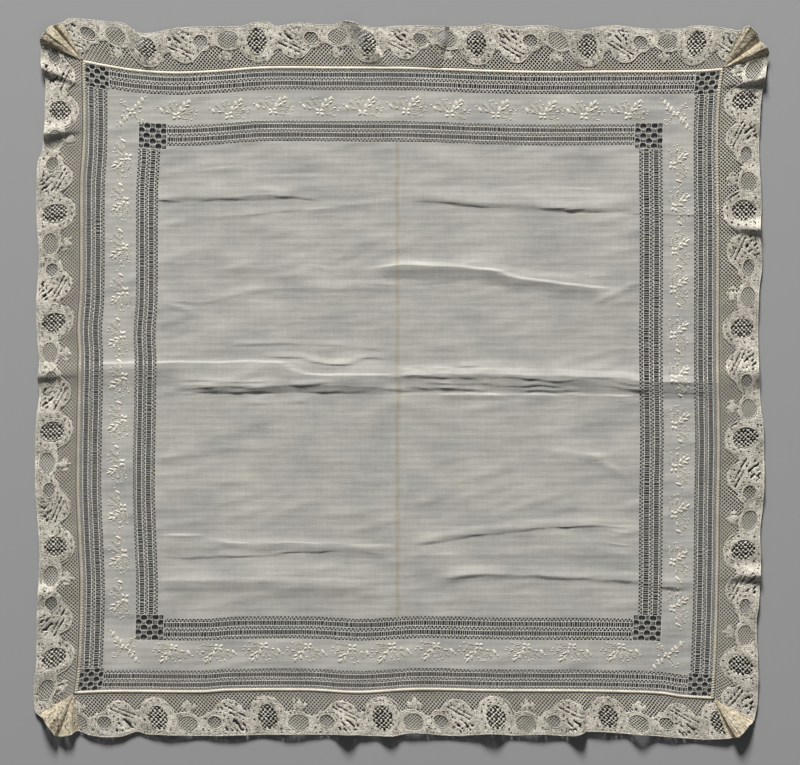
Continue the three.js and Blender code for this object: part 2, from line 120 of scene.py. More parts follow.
# Folds of the linen: height, how far each falls away above and below, fade at the ends, crest.
FOLDS = [
    (3.4, 6.5, 10.5, 9, [[-184, 3], [-120, 5], [-60, 5], [-40, 6], [-20, 4], [0, 2.5], [24, 3.5],
                         [72, 3], [110, 2], [184, 1]]),
    (2.9, 5, 6.5, 10, [[-17, 55], [0, 56.5], [44, 54.5], [56, 51.5], [72, 49.5], [102, 45.5]]),
    (1.9, 6, 2.6, 12, [[-124, 91], [-75, 91], [-50, 92.5]]),
    (1.0, 3, 4, 8, [[-50, 85], [-25, 87.5], [0, 89]]),
    (2.2, 8, 3, 10, [[4, 91], [28, 89.5], [56, 87.5], [90, 86], [121, 86]]),
    (1.3, 4, 2.5, 8, [[-94, 39.5], [-73, 44.5], [-26, 46], [0, 47]]),
    (1.0, 3, 3.5, 6, [[-123, 40], [-101, 32]]),
    (1.2, 3.5, 3, 6, [[97, 37], [119, 48.5]]),
    (0.9, 3, 3, 6, [[-123, -41], [-101, -31.5]]),
    (1.1, 3, 3.5, 7, [[70, -36.5], [90, -38], [119, -53]]),
    (2.0, 5, 5, 10, [[-124, -83.5], [-96, -83.5], [-60, -83], [-18, -85], [-4, -88]]),
    (1.5, 4, 3, 8, [[6, -80.5], [36, -76.5], [66, -73], [104, -71.5]]),
    (2.0, 4, 6, 10, [[-124, -101.5], [-70, -102], [-14, -104]]),
    (1.8, 5, 3, 10, [[15, -99.5], [60, -98], [104, -99.5], [130, -101], [150, -102]]),
]

# Sharp ridges of the linen, in the form of the folds. A short side is a thin line of light or
# shade.
RIDGES = [
    (0.8, 1.0, 7.5, 20, [[-20, 54.5], [-1, 57], [20, 56.5], [40, 55], [48, 54], [54, 51.5],
                          [65, 49.5], [80, 47.5], [108, 44.5]]),
    (0.3, 1.0, 0.9, 16, [[-12, 56.5], [-1, 58], [20, 57.5], [40, 56]]),
    (0.5, 0.9, 7, 10, [[-170, 7], [-123, 8.2], [-90, 8.3], [-60, 8.2], [-54, 4.5], [-47, 2.4],
                        [-39, 1.9], [-1, 1.9]]),
    (1.25, 3.3, 8.5, 14, [[-10, 0.5], [10, 2.2], [25, 2.6], [50, 2.4], [70, 2.0], [100, 1.0],
                          [112, 0.6], [120, -1], [172, -2]]),
    (1.05, 8, 4.0, 16, [[-118, -2.5], [-100, -3], [-80, -3.5], [-55, -3], [-30, -3.3], [-3, -4.5]]),
    (0.38, 3, 0.6, 8, [[-68, 11.6], [-54, 10.8], [-50, 10.7], [-44, 8.7], [-34, 7.5], [-27, 7.2],
                       [-22, 9.3], [-16, 10.8], [-6, 9.5]]),
    (0.75, 9, 11, 13, [[-124, -100.5], [-100, -100.5], [-75, -100], [-40, -100.5], [-30, -101],
                       [-6, -103]]),
    (0.35, 6, 6, 30, [[-122, 96], [-90, 95], [-60, 96], [-10, 97]]),
    (0.35, 5, 8, 26, [[4, 92], [40, 92], [80, 91], [122, 91]]),
]
# Creases pressed into the linen, in the same form. Each is drawn as a few broken strands.
CREASES = [
    (0.34, 5, 0.7, 6, [[-125, 89.5], [-106, 89.1], [-92, 90.2], [-76, 89.7]]),
    (0.24, 4, 0.7, 6, [[-82, 90.5], [-72, 92], [-62, 91.6], [-50, 90.8], [-40, 89]]),
    (0.16, 4, 0.8, 6, [[-75, 94.5], [-62, 93.8]]),
    (0.14, 0.7, 5, 8, [[-52, 84.5], [-36, 85.5], [-26, 87.2], [-12, 88.3]]),
    (0.12, 0.7, 4, 8, [[-24, 93], [-2, 94.4]]),
    (0.14, 3, 0.8, 8, [[-120, 77], [-102, 78], [-88, 80.5], [-60, 84], [-50, 85]]),
    (0.34, 5, 0.8, 8, [[2, 89.2], [14, 89], [24, 88.2], [31, 87.3], [41, 86.5], [54, 85.7]]),
    (0.3, 4, 0.8, 5, [[56, 84.4], [66, 86.3], [72, 85.2], [84, 85.6]]),
    (0.42, 4, 0.9, 5, [[80, 84.4], [89, 84.4], [94, 83.9], [102, 84.4]]),
    (0.26, 4, 0.8, 8, [[98, 84.2], [110, 83.5], [120, 83], [162, 82]]),
    (0.12, 0.7, 4, 10, [[48, 95], [75, 95.5], [100, 94]]),
    (0.13, 0.7, 4, 8, [[-88, 56.5], [-70, 56], [-50, 57], [-36, 55], [-26, 50]]),
    (0.2, 4, 0.7, 8, [[-28, 47.5], [-15, 47.5], [0, 47]]),
    (0.2, 4, 0.8, 8, [[-125, 40.5], [-110, 38.5], [-93, 38.5], [-80, 40], [-71, 44]]),
    (0.12, 0.7, 4, 10, [[-75, 43], [-50, 43.5], [-30, 44.5], [0, 45.5]]),
    (0.12, 0.7, 4, 8, [[4, 46], [20, 46.5], [35, 47.5]]),
    (0.26, 1.5, 1.5, 3, [[-77, 34], [-72, 40.5]]),
    (0.16, 0.7, 3, 6, [[-120, 38], [-108, 35.5], [-101, 31]]),
    (0.12, 0.7, 3, 6, [[-121, 17], [-111, 19.5], [-105, 21]]),
    (0.22, 2.5, 0.7, 10, [[-93, 15], [-82, 17], [-60, 17.5], [-30, 16.5], [-8, 15]]),
    (0.22, 3, 0.7, 8, [[-122, 11], [-110, 11.3], [-102, 11]]),
    (0.3, 3, 0.7, 8, [[-122, -1.5], [-110, -0.5], [-100, -1], [-88, -1.6], [-75, -1.2], [-62, -1]]),
    (0.2, 0.8, 3, 8, [[-118, -3.2], [-100, -2.5], [-85, -1.8], [-70, -2.5]]),
    (0.55, 2.5, 1.0, 6, [[-97, -5], [-90, -6.5], [-80, -6.5], [-72, -5.5], [-62, -7]]),
    (0.5, 2.5, 1.0, 6, [[-66, -2.2], [-55, -3], [-45, -2.5], [-36, -1.5]]),
    (0.46, 3, 1.2, 6, [[-50, -6], [-38, -6.4], [-26, -5.8], [-14, -5.4]]),
    (0.16, 3, 1.0, 5, [[-12, -4.4], [-6, -5], [2, -6], [12, -6.5]]),
    (0.34, 2, 0.8, 6, [[10, -1.5], [24, -2.2], [34, -2.6], [44, -2.2]]),
    (0.34, 2, 0.8, 6, [[46, -2.8], [58, -3.4], [70, -3], [82, -3.6]]),
    (0.3, 2, 0.8, 6, [[58, -6], [74, -5.6], [90, -6.2]]),
    (0.3, 2, 0.8, 6, [[-114, -4.2], [-100, -4.6], [-91, -4.2]]),
    (0.3, 2, 0.8, 6, [[-90, -3.8], [-74, -4.2], [-62, -4.4]]),
    (0.3, 3, 0.7, 8, [[-123, -7.6], [-105, -7], [-92, -6.2]]),
    (0.3, 2, 0.7, 8, [[-4, 4.2], [8, 5], [25, 5.8], [42, 6.5]]),
    (0.42, 3, 0.9, 6, [[0, 1.7], [15, 1.2], [32, 0.8], [39, -1], [46, -3.4]]),
    (0.34, 3, 0.8, 6, [[42, 1.2], [53, 1.2], [64, 0.2], [76, -0.9], [94, -0.6]]),
    (0.56, 3, 1.2, 6, [[2, -3.8], [12, -4.6], [24, -4.4], [36, -5.4], [44, -6]]),
    (0.3, 3, 0.9, 6, [[88, -3], [100, -3.2], [107, -3.4], [113, -4.8], [124, -6], [168, -7]]),
    (0.34, 3, 0.8, 5, [[92, 1.1], [104, 0.2], [110, -1.4], [120, -3.6]]),
    (0.3, 0.8, 3, 8, [[0, -8], [30, -7.8], [60, -8], [90, -8.2], [120, -8.4]]),
    (0.26, 3, 0.7, 6, [[-78, -11.5], [-66, -12.3], [-54, -11.5], [-44, -10.5]]),
    (0.2, 0.7, 3, 6, [[-123, -40], [-113, -39], [-105, -35], [-100, -31.5]]),
    (0.12, 0.7, 3, 5, [[-48, -29.5], [-38, -28.5]]),
    (0.12, 0.7, 3, 5, [[-105, -57.5], [-98, -62], [-93, -63]]),
    (0.24, 0.8, 3, 10, [[-123, -79], [-110, -78], [-100, -78.5], [-88, -81.5], [-65, -82],
                        [-40, -82], [-20, -83.5], [0, -83.5]]),
    (0.3, 4, 0.7, 10, [[-121, -89], [-100, -89], [-90, -88.5], [-70, -88], [-50, -86], [-30, -86],
                       [-15, -87], [-8, -88.5]]),
    (0.28, 4, 0.7, 10, [[5, -83], [20, -81], [35, -78], [50, -76.5], [70, -74.5], [80, -74],
                        [100, -73]]),
    (0.14, 0.7, 0.8, 8, [[90, -73], [120, -74]]),
    (0.14, 0.7, 0.8, 8, [[100, -74.5], [120, -78.5]]),
    (0.14, 0.7, 0.8, 8, [[92, -80.5], [120, -84]]),
    (0.16, 3, 3, 12, [[0, -88.5], [30, -87.5], [60, -87], [100, -86.5], [120, -88]]),
    (0.42, 5, 1.4, 12, [[12, -99.5], [30, -98.5], [40, -97.5], [60, -98], [72, -98.5],
                        [90, -99.5], [110, -100.5], [120, -102.5], [148, -105]]),
    (0.26, 3, 0.8, 6, [[80, -33.5], [87, -33.5], [92, -36], [100, -41.5], [110, -47.5],
                       [121, -54]]),
    (0.12, 0.7, 3, 6, [[72, -36], [85, -36.5], [100, -38.5], [106, -39.5]]),
    (0.26, 2.5, 0.9, 6, [[95, 36], [105, 42], [121, 49]]),
    (0.12, 0.7, 3, 6, [[80, 39.5], [87, 42], [95, 45.5]]),
    (0.13, 0.7, 3, 12, [[-123, 103], [-100, 104.5], [-73, 107]]),
    (0.1, 0.7, 3, 12, [[-80, 101.5], [-36, 102]]),
]
STRANDS = 3  # of each crease
STRAND_WANDER = 0.7  # of each strand to either side of its crease
STRAND_SHARE = 0.75  # of the crease's height in one strand
RIDGE_WANDER = 0.3
# The faint upright fold down the middle: x of its line by height, and how it stands.
MIDDLE_FOLD = [[-120, -4], [-60, -3.5], [-10, -3], [0, -1.5], [60, -1], [118, -0.5]]
MIDDLE_FOLD_RISE = 0.3
MIDDLE_FOLD_WIDTH = 2.2  # to each side
MIDDLE_FOLD_ENDS = (-120, 118)
MIDDLE_FOLD_FADE = 10
# Small unevenness of the linen: height, how much longer it is along x, seed, wavelengths, count.
WRINKLES = [(0.16, 1, 3, (20, 70), 9), (0.02, 3, 5, (5, 14), 18), (0.006, 2.5, 6, (2.4, 6), 24)]

# Tucks of the lace: crest at the hem, crest at the edge, rise, fall before and fall after.
TUCKS = {
    "top": [
        (-128, -131, 2.6, 7, 3), (-9, -21, 3.6, 12, 2.5), (17, 22, 3.2, 12, 2), (84, 86, 2.0, 7, 6),
    ],
    "right": [(146, 150, 3.2, 7, 2), (77, 75, 2.6, 6, 4), (4, 4, 1.4, 8, 9), (-96, -98, 2.6, 7, 4)],
    "bottom": [
        (122, 119, 2.8, 9, 8), (92, 90, 3.8, 3, 10), (46, 46, 2.8, 9, 9), (-7, -6, 2.6, 7, 7),
        (-28, -28, 2.8, 8, 7),
    ],
    "left": [
        (-104, -108, 1.8, 9, 7), (1, 1, 1.6, 2.5, 9), (121, 122, 3.0, 2.5, 8),
        (143, 155, 2.4, 3, 6),
    ],
}
TUCK_START = 0.15  # share of a tuck's rise that it has at the hem
RIPPLE_RISE = 0.5  # of the lace's gentle ripples, at its outer edge
RIPPLE_LENGTH = 31
FAN_POWER = 5  # how late along a side the lace starts to fan out towards a corner

# ---------------------------------------------------------------- how high things lie

LINEN_Z = 1.1  # of the linen over the surface, where it has no fold
BAND_Z = 1.1
LACE_Z = 0.9
LOWEST = 0.03  # of anything: the surface that it lies on carries it
LACE_LOWEST = 0.2
LACE_WRINKLE = 0.16  # of the lace, at its outer edge
CROWN = 0.3  # how far the roof over a bundle of threads rises, for its half width
SWELL = 0.18  # share of a fold's height that is a broad swell: its creases give the rest

# ---------------------------------------------------------------- small maths


def smoothstep(t):
    held = np.clip(t, 0, 1)
    return held * held * (3 - 2 * held)


def spaced(low, high, step):
    """Even places from low to high, about a step apart."""
    return np.linspace(low, high, max(2, round((high - low) / step) + 1))


def between(place, ends):
    return (place > ends[0]) & (place < ends[1])


def unit(vectors):
    return vectors / np.maximum(np.linalg.norm(vectors, axis=-1, keepdims=True), 1e-9)


def follow(rows, place):
    """A smooth curve through [place, value] rows, level beyond both ends."""
    at, value = np.array(rows, float).T
    slope = np.empty(len(at))
    slope[1:-1] = (value[2:] - value[:-2]) / (at[2:] - at[:-2])
    slope[0] = (value[1] - value[0]) / (at[1] - at[0])
    slope[-1] = (value[-1] - value[-2]) / (at[-1] - at[-2])
    held = np.clip(place, at[0], at[-1])
    i = np.clip(np.searchsorted(at, held), 1, len(at) - 1)
    span = at[i] - at[i - 1]
    t = (held - at[i - 1]) / span
    leaving = t * (1 - t) ** 2 * span * slope[i - 1]
    arriving = t * t * (t - 1) * span * slope[i]
    return value[i - 1] + (value[i] - value[i - 1]) * t * t * (3 - 2 * t) + leaving + arriving


def lie(x, y):
    """Where a point of the straight cloth really lies."""
    across = (x - HEM["left"]) / (HEM["right"] - HEM["left"])
    up = (y - HEM["bottom"]) / (HEM["top"] - HEM["bottom"])
    sideways = follow(HEM_LEFT, y) * (1 - across) + follow(HEM_RIGHT, y) * across
    upward = follow(HEM_BOTTOM, x) * (1 - up) + follow(HEM_TOP, x) * up
    return x + sideways, y + upward


def swell(t):
    """A rounded side, of the part of a fold that is a broad swell."""
    return SWELL * smoothstep(t)


def slant(t):
    """A straight side, so that a ridge is sharp at its crest and at its foot."""
    return np.clip(t, 0, 1)


def ridges(table, profile, x, y):
    """Height of a table's folds: profile gives the form of their sides."""
    x, y = np.broadcast_arrays(x, y)
    height = np.zeros(x.shape)
    for full, above, below, fade, crest in table:
        at, line = np.array(crest, float).T
        near = between(x, (at[0], at[-1]))
        near &= between(y, (line.min() - below - 1, line.max() + above + 1))
        place = x[near]
        off = y[near] - follow(crest, place)
        side = profile(1 - np.abs(off) / np.where(off > 0, above, below))
        ends = smoothstep((place - at[0]) / fade) * smoothstep((at[-1] - place) / fade)
        height[near] += full * side * ends
    return height


def creases(x, y):
    """Height of the pressed creases: broken strands that waver and cross one another."""
    height = np.zeros(np.broadcast(x, y).shape)
    for strand in range(STRANDS):
        wavering = y + STRAND_WANDER * wavy(x, y / 9, 60 + strand, (9, 34))
        uneven = 0.35 + 0.85 * wavy(x, y / 2, 70 + strand, (8, 38))
        height += STRAND_SHARE * ridges(CREASES, slant, x, wavering) * np.clip(uneven, 0, 1.3)
    return height


def folds(x, y):
    """Height of the folds at a real place."""
    wavering = y + RIDGE_WANDER * wavy(x, y / 9, 12, (7, 26))
    uneven = 0.85 + 0.3 * wavy(x, y / 2, 13, (9, 40))
    return ridges(FOLDS, swell, x, y) + ridges(RIDGES, slant, x, wavering) * uneven + creases(x, y)


def wavy(x, y, seed, lengths, count=9):
    """Gentle seeded waves, from about -1 to 1, with wavelengths between the two lengths."""
    dice = np.random.default_rng(seed)
    total = np.zeros(np.broadcast(x, y).shape)
    for _ in range(count):
        turn = dice.uniform(0, math.tau)
        wave = math.tau / dice.uniform(*lengths)
        phase = dice.uniform(0, math.tau)
        total += np.sin(wave * (x * math.cos(turn) + y * math.sin(turn)) + phase)
    return total / math.sqrt(count * 2)


def cloth_height(x, y):
    """Height over the surface of the linen's folds and its small unevenness."""
    middle = np.abs(x - follow(MIDDLE_FOLD, y)) / MIDDLE_FOLD_WIDTH
    low, high = MIDDLE_FOLD_ENDS
    within = smoothstep((y - low) / MIDDLE_FOLD_FADE) * smoothstep((high - y) / MIDDLE_FOLD_FADE)
    wrinkles = sum(
        rise * wavy(x / stretch, y, seed, lengths, count)
        for rise, stretch, seed, lengths, count in WRINKLES
    )
    return folds(x, y) + wrinkles + MIDDLE_FOLD_RISE * slant(1 - middle) * within


def on_cloth(x, y, lift):
    """Real points, lift above the surface, for places on the straight cloth."""
    real_x, real_y = lie(x, y)
    return np.stack([real_x, real_y, cloth_height(real_x, real_y) + lift], axis=-1)


# ---------------------------------------------------------------- meshes


def tubes(paths, radius, sides=4, deep=0.0):
    """Tubes along many paths of equal count: paths is (n, k, 3), radius a number or (k,). With
    deep, a bundle of threads instead: a low roof on walls that reach so many half widths down."""
    paths = np.asarray(paths, float)
    n, k, _ = paths.shape
    along = unit(np.gradient(paths, axis=1))
    side = unit(np.cross(along, UP))
    up = np.cross(side, along)
    turn = np.arange(sides) * math.tau / sides + math.pi / 2
    wide, rise = np.cos(turn), np.sin(turn)
    if deep:
        wide, rise = np.array([1.0, 1, 0, -1, -1]), np.array([-deep, 0, CROWN, 0, -deep])
    thick = np.broadcast_to(np.asarray(radius, float), (n, k))[..., None, None]
    ring = side[:, :, None] * wide[:, None] + up[:, :, None] * rise[:, None]
    points = paths[:, :, None] + ring * thick
    at = np.arange(n * k * len(wide)).reshape(n, k, len(wide))
    nxt = np.roll(at, -1, axis=2)
    quads = np.stack([at[:, :-1], at[:, 1:], nxt[:, 1:], nxt[:, :-1]], axis=-1)
    return points.reshape(-1, 3), quads[:, :, :sides].reshape(-1, 4)


def compact(points, quads):
    """The same sheet without the points that it has no cells at."""
    used, quads = np.unique(quads, return_inverse=True)
    return points[used], quads.reshape(-1, 4)


def grid(points, keep=None):
    """A sheet from (m, n, 3) points, of the cells where keep is true."""
    m, n, _ = points.shape
    at = np.arange(m * n).reshape(m, n)
    quads = np.stack([at[:-1, :-1], at[1:, :-1], at[1:, 1:], at[:-1, 1:]], axis=-1)
    quads = quads.reshape(-1, 4)
    if keep is not None:
        quads = quads[keep]
    return compact(points.reshape(-1, 3), quads)


def cell_middles(u, v):
    """The middles of the cells of a grid of places."""
    return (u[:-1, :-1] + u[1:, 1:]) / 2, (v[:-1, :-1] + v[1:, 1:]) / 2


def rim_of(quads):
    """The sides that only one cell of a sheet has, each in its cell's direction."""
    sides = np.concatenate([quads[:, [i, (i + 1) % 4]] for i in range(4)])
    _, first, count = np.unique(
        np.sort(sides, axis=1), axis=0, return_index=True, return_counts=True
    )
    return sides[first[count == 1]]


def soften(flat, rim):
    """Rounds the rims of a sheet of square cells, in its flat coordinates, and keeps the size
    of its holes: each smoothing step is followed by one that swells as much."""
    for share in (0.5, -0.52, 0.5, -0.5):
        total = np.zeros_like(flat)
        met = np.zeros(len(flat))
        for a, b in ((0, 1), (1, 0)):
            np.add.at(total, rim[:, a], flat[rim[:, b]])
            np.add.at(met, rim[:, a], 1)
        on = met > 0
        flat[on] += share * (total[on] / met[on, None] - flat[on])
    return flat


def masked_sheet(u, v, keep, place, walled, wall):
    """A sheet over the cells of a grid where keep is true, its rims rounded. Where walled(u, v)
    is true, the threads round a hole reach down by wall, like those of the net."""
    flat, quads = grid(np.stack([u, v, np.zeros_like(u)], axis=-1), keep.ravel())
    rim = rim_of(quads)
    flat = soften(flat[:, :2].copy(), rim)
    top = place(flat[:, 0], flat[:, 1])
    foot = top - [0.0, 0.0, wall]
    middle = flat[rim].mean(axis=1)
    rim = rim[walled(middle[:, 0], middle[:, 1])]
    walls = np.stack([rim[:, 1], rim[:, 0], rim[:, 0] + len(top), rim[:, 1] + len(top)], axis=1)
    return compact(np.concatenate([top, foot]), np.concatenate([quads, walls]))


def join(parts):
    """All the parts as one mesh."""
    points, quads, start = [], [], 0
    for some_points, some_quads in parts:
        points.append(some_points)
        quads.append(some_quads + start)
        start += len(some_points)
    return np.concatenate(points), np.concatenate(quads)


def piece(name, parts, material, smooth=True):
    """One object from (points, quads) parts, riding on the cloth's body."""
    points, quads = join(parts)
    points[:, 2] = np.maximum(points[:, 2], LOWEST)
    mesh = bpy.data.meshes.new(name)
    mesh.vertices.add(len(points))
    mesh.vertices.foreach_set("co", (points * METRES).astype(np.float32).ravel())
    mesh.loops.add(quads.size)
    mesh.loops.foreach_set("vertex_index", quads.astype(np.int32).ravel())
    mesh.polygons.add(len(quads))
    mesh.polygons.foreach_set("loop_start", np.arange(len(quads), dtype=np.int32) * 4)
    mesh.polygons.foreach_set("use_smooth", np.full(len(quads), smooth))
    mesh.update(calc_edges=True)
    mesh.validate()
    mesh.materials.append(material)
    made = bpy.data.objects.new(name, mesh)
    bpy.context.collection.objects.link(made)
    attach(made, BODY)
    print(name, len(quads) * 2, "triangles")
    return made


# ---------------------------------------------------------------- places on the lace

LACE_WIDTH = 21.0  # nominal, from the hem to the outer edge
REPEAT = 55.0  # nominal length of one repeat of the lace's design
CORNER_LENGTH = 12.0  # of lace taken up by the pleats of one corner
OUTS = np.linspace(0, 1, 15)  # shares of the way out at which the lace's height is worked out
SIDE_LINES = 700  # lines across the lace of one side
FARTHEST_OUT = 1.03  # share of the lace's width that a thread can reach

# Sides in clockwise order: the axis that runs along it, the outer edge, where it runs from and to
# at the outer edge and at the hem, and the middles of its checkered scallops.
SIDES = [
    ("top", 0, EDGE_TOP, -169.2, 169, "left", "right", (-127.7, -72.2, -17.2, 37.3, 92.8, 146.8)),
    ("right", 1, EDGE_RIGHT, 161, -170, "top", "bottom", (139.5, 84.5, 25.5, -29.2, -85.5, -142.5)),
    ("bottom", 0, EDGE_BOTTOM, 163, -161, "right", "left",
     (159.3, 103.3, 47.3, -9.2, -66.7, -121.7)),
    ("left", 1, EDGE_LEFT, -167, 167, "bottom", "top", (-139.5, -83.8, -26.2, 28, 82.7, 133.5)),
]
CORNERS = {
    "top": ("top_right", "right", "top"), "right": ("bottom_right", "right", "bottom"),
    "bottom": ("bottom_left", "left", "bottom"), "left": ("top_left", "left", "top"),
}


def tuck_rise(side, at_hem, at_edge, out, sign):
    """Height of one side's tucks and ripples, on lines from at_hem to at_edge."""
    place = at_hem + (at_edge - at_hem) * out
    height = RIPPLE_RISE * out * (1 + np.sin(math.tau * place / RIPPLE_LENGTH))
    for crest_hem, crest_edge, rise, before, after in TUCKS[side]:
        off = (place - (crest_hem + (crest_edge - crest_hem) * out)) * sign
        slope = smoothstep(1 - np.abs(off) / np.where(off < 0, before, after))
        height = height + rise * slope * (TUCK_START + (1 - TUCK_START) * out)
    return height


def side_lines(name, axis, edge, first, last, hem_first, hem_last):
    """Lines across the lace of one side: s from the side's start, inner and outer ends, rises
    along OUTS and whether pleated, and then the place along the side of each line's middle."""
    place = np.linspace(first, last, SIDE_LINES)
    share = (place - first) / (last - first)
    pull = np.where(share < 0.5, HEM[hem_first] - first, HEM[hem_last] - last)
    at_hem = place + pull * np.abs(2 * share - 1) ** FAN_POWER
    hem_line = HEM[name]
    inner = np.stack(lie(at_hem, hem_line) if axis == 0 else lie(hem_line, at_hem), axis=-1)
    inner[:, 1 - axis] += math.copysign(JOIN_GAP, hem_line)
    across = follow(edge, place)
    outer = np.stack([place, across] if axis == 0 else [across, place], axis=-1)
    middle = (inner[:, axis] + outer[:, axis]) / 2
    rises = tuck_rise(name, at_hem[:, None], place[:, None], OUTS, math.copysign(1, last - first))
    return (np.abs(middle - middle[0]), inner, outer, rises, np.zeros(SIDE_LINES)), middle


def pleat_lines(corner, hem_x, hem_y):
    """The same of one corner's pleats, with s from the corner's start."""
    rows = np.array(PLEATS[corner])
    node = np.array(lie(HEM[hem_x], HEM[hem_y]))
    lean = np.sign([HEM[hem_x], HEM[hem_y]])
    clockwise = np.array([lean[1], -lean[0]]) / math.sqrt(2)
    order = np.arange(len(rows)) - (len(rows) - 1) / 2
    root = node + lean * CORNER_GAP + clockwise * (order * PLEAT_SPREAD)[:, None]
    s = CORNER_LENGTH * (np.arange(len(rows)) + 1) / (len(rows) + 1)
    return s, root, rows[:, :2], rows[:, 2:] * OUTS, np.ones(len(rows))


def lace_lines():
    """All the lines, closed to a ring, and then the s of the scallops and of the corners."""
    strips, scallops, corners = [], [], []
    start = 0.0
    for name, axis, edge, first, last, hem_first, hem_last, middles in SIDES:
        lines, middle = side_lines(name, axis, edge, first, last, hem_first, hem_last)
        s = start + lines[0]
        sign = math.copysign(1, last - first)
        scallops += list(np.interp(np.array(middles) * sign, middle * sign, s))
        strips.append((s, *lines[1:]))
        start = s[-1]
        lines = pleat_lines(*CORNERS[name])
        strips.append((start + lines[0], *lines[1:]))
        corners.append(start + CORNER_LENGTH / 2)
        start += CORNER_LENGTH
    closed = [np.concatenate([*part, part[0][:1]]) for part in zip(*strips)]
    closed[0][-1] = start
    return (*closed, np.array(scallops), np.array(corners))


LINE_S, LINE_INNER, LINE_OUTER, LINE_RISE, LINE_PLEATED, SCALLOPS, CORNER_S = lace_lines()
ROUND = LINE_S[-1]


def along_lace(s, values):
    """The lines' values, read off at places round the lace."""
    return np.interp(np.mod(s, ROUND), LINE_S, values)


def on_lace(s, b, lift):
    """Real points for places s round the lace and b out from the hem."""
    out = np.clip(b / LACE_WIDTH, 0, FARTHEST_OUT)
    place = []
    for axis in (0, 1):
        low = along_lace(s, LINE_INNER[:, axis])
        high = along_lace(s, LINE_OUTER[:, axis])
        place.append(low + (high - low) * out)
    column = np.clip(out, 0, 1) * (len(OUTS) - 1)
    row = np.interp(np.mod(s, ROUND), LINE_S, np.arange(len(LINE_S)))
    i = np.minimum(row.astype(int), len(LINE_S) - 2)
    j = np.minimum(column.astype(int), len(OUTS) - 2)
    t, u = row - i, column - j
    near = LINE_RISE[i, j] * (1 - u) + LINE_RISE[i, j + 1] * u
    far = LINE_RISE[i + 1, j] * (1 - u) + LINE_RISE[i + 1, j + 1] * u
    x, y = place
    small = LACE_WRINKLE * wavy(x, y, 11, (6, 16)) * out
    z = folds(x, y) + near * (1 - t) + far * t + small + LACE_Z + lift
    return np.stack([x, y, np.maximum(z, LACE_LOWEST)], axis=-1)


def repeats():
    """Each repeat of the lace's design: where its zero is, its scale, and where it starts and ends.
    At a corner the pleats hide part of the lace: one repeat runs in and another runs out."""
    ends = np.append(SCALLOPS, SCALLOPS[0] + ROUND)
    rows = []
    for start, end in zip(ends, ends[1:]):
        inside = [c for c in (*CORNER_S, CORNER_S[0] + ROUND) if start < c < end]
        if inside:
            rows.append((start, 1.0, start, inside[0]))
            rows.append((end - REPEAT, 1.0, inside[0], end))
        else:
            rows.append((start, (end - start) / REPEAT, start, end))
    return np.array(rows).T


ZERO, SCALE, FIRST, LAST = repeats()
COUNT = len(ZERO)
CUT_IN = FIRST != ZERO  # repeats that come out of a corner's pleats
CUT_OUT = np.roll(CUT_IN, -1)  # repeats that run into them


def design(k, a, b, lift):
    """Real points for places of the k-th repeats, and which of them the pleats leave in sight."""
    s = ZERO[k] + np.asarray(a) * SCALE[k]
    hidden = (CUT_IN[k] & (s < FIRST[k])) | (CUT_OUT[k] & (s > LAST[k]))
    seen = ~hidden & unpleated(s)
    return on_lace(s, b, lift), seen


# ---------------------------------------------------------------- camera, light and floor

PICTURE_WIDTH = 800  # pixels
PIXEL = 0.5  # mm
AIM = (-0.7, -1.75)
CAMERA_HEIGHT = 2.4  # metres
SENSOR = 36.0
# Disk lights: place and size in metres, power in watts and colour. The key light rakes the folds.
LIGHTS = {
    "key": ((-0.5, 4.1, 2.05), 1.3, 352, (1.0, 0.985, 0.96)),
    "fill": ((0.8, -1.6, 2.6), 2.4, 5, (0.97, 0.98, 1.0)),
}
SKY = (0.82, 0.82, 0.83, 1)
SKY_STRENGTH = 0.055
FLOOR = (0.37, 0.373, 0.38, 1)
FLOOR_SIZE = 6  # metres
FLOOR_Z = -0.00005  # metres


def add_camera():
    camera = bpy.data.cameras.new("camera")
    camera.sensor_width = SENSOR
    camera.lens = SENSOR * CAMERA_HEIGHT / (PICTURE_WIDTH * PIXEL * METRES)
    holder = bpy.data.objects.new("camera", camera)
    holder.location = (AIM[0] * METRES, AIM[1] * METRES, CAMERA_HEIGHT)
    bpy.context.collection.objects.link(holder)
    bpy.context.scene.camera = holder
    return holder


def add_lights():
    """The lights, each turned to the middle of the cloth, and the dim sky."""
    for name, (place, size, power, tone) in LIGHTS.items():
        light = bpy.data.lights.new(name, "AREA")
        light.shape = "DISK"
        light.size = size
        light.energy = power
        light.color = tone
        lamp = bpy.data.objects.new(name, light)
        lamp.location = place
        towards = -np.array(place) / np.linalg.norm(place)
        lamp.rotation_euler = (
            math.acos(-towards[2]), 0, math.atan2(towards[1], towards[0]) - math.pi / 2
        )
        bpy.context.collection.objects.link(lamp)

    world = bpy.data.worlds.new("world")
    world.use_nodes = True
    sky = world.node_tree.nodes["Background"]
    sky.inputs["Color"].default_value = SKY
    sky.inputs["Strength"].default_value = SKY_STRENGTH
    bpy.context.scene.world = world
    bpy.context.scene.view_settings.view_transform = "Standard"


def add_floor():
    bpy.ops.mesh.primitive_plane_add(size=FLOOR_SIZE, location=(0, 0, FLOOR_Z))
    floor = bpy.context.object
    floor.name = "floor"
    paint = bpy.data.materials.new("floor_paint")
    paint.use_nodes = True
    shader = paint.node_tree.nodes["Principled BSDF"]
    shader.inputs["Base Color"].default_value = FLOOR
    shader.inputs["Roughness"].default_value = 0.9
    shader.inputs["Specular IOR Level"].default_value = 0.2
    floor.data.materials.append(paint)
    return floor


def stage():
    holder = add_camera()
    add_lights()
    floor = add_floor()


# ---------------------------------------------------------------- materials


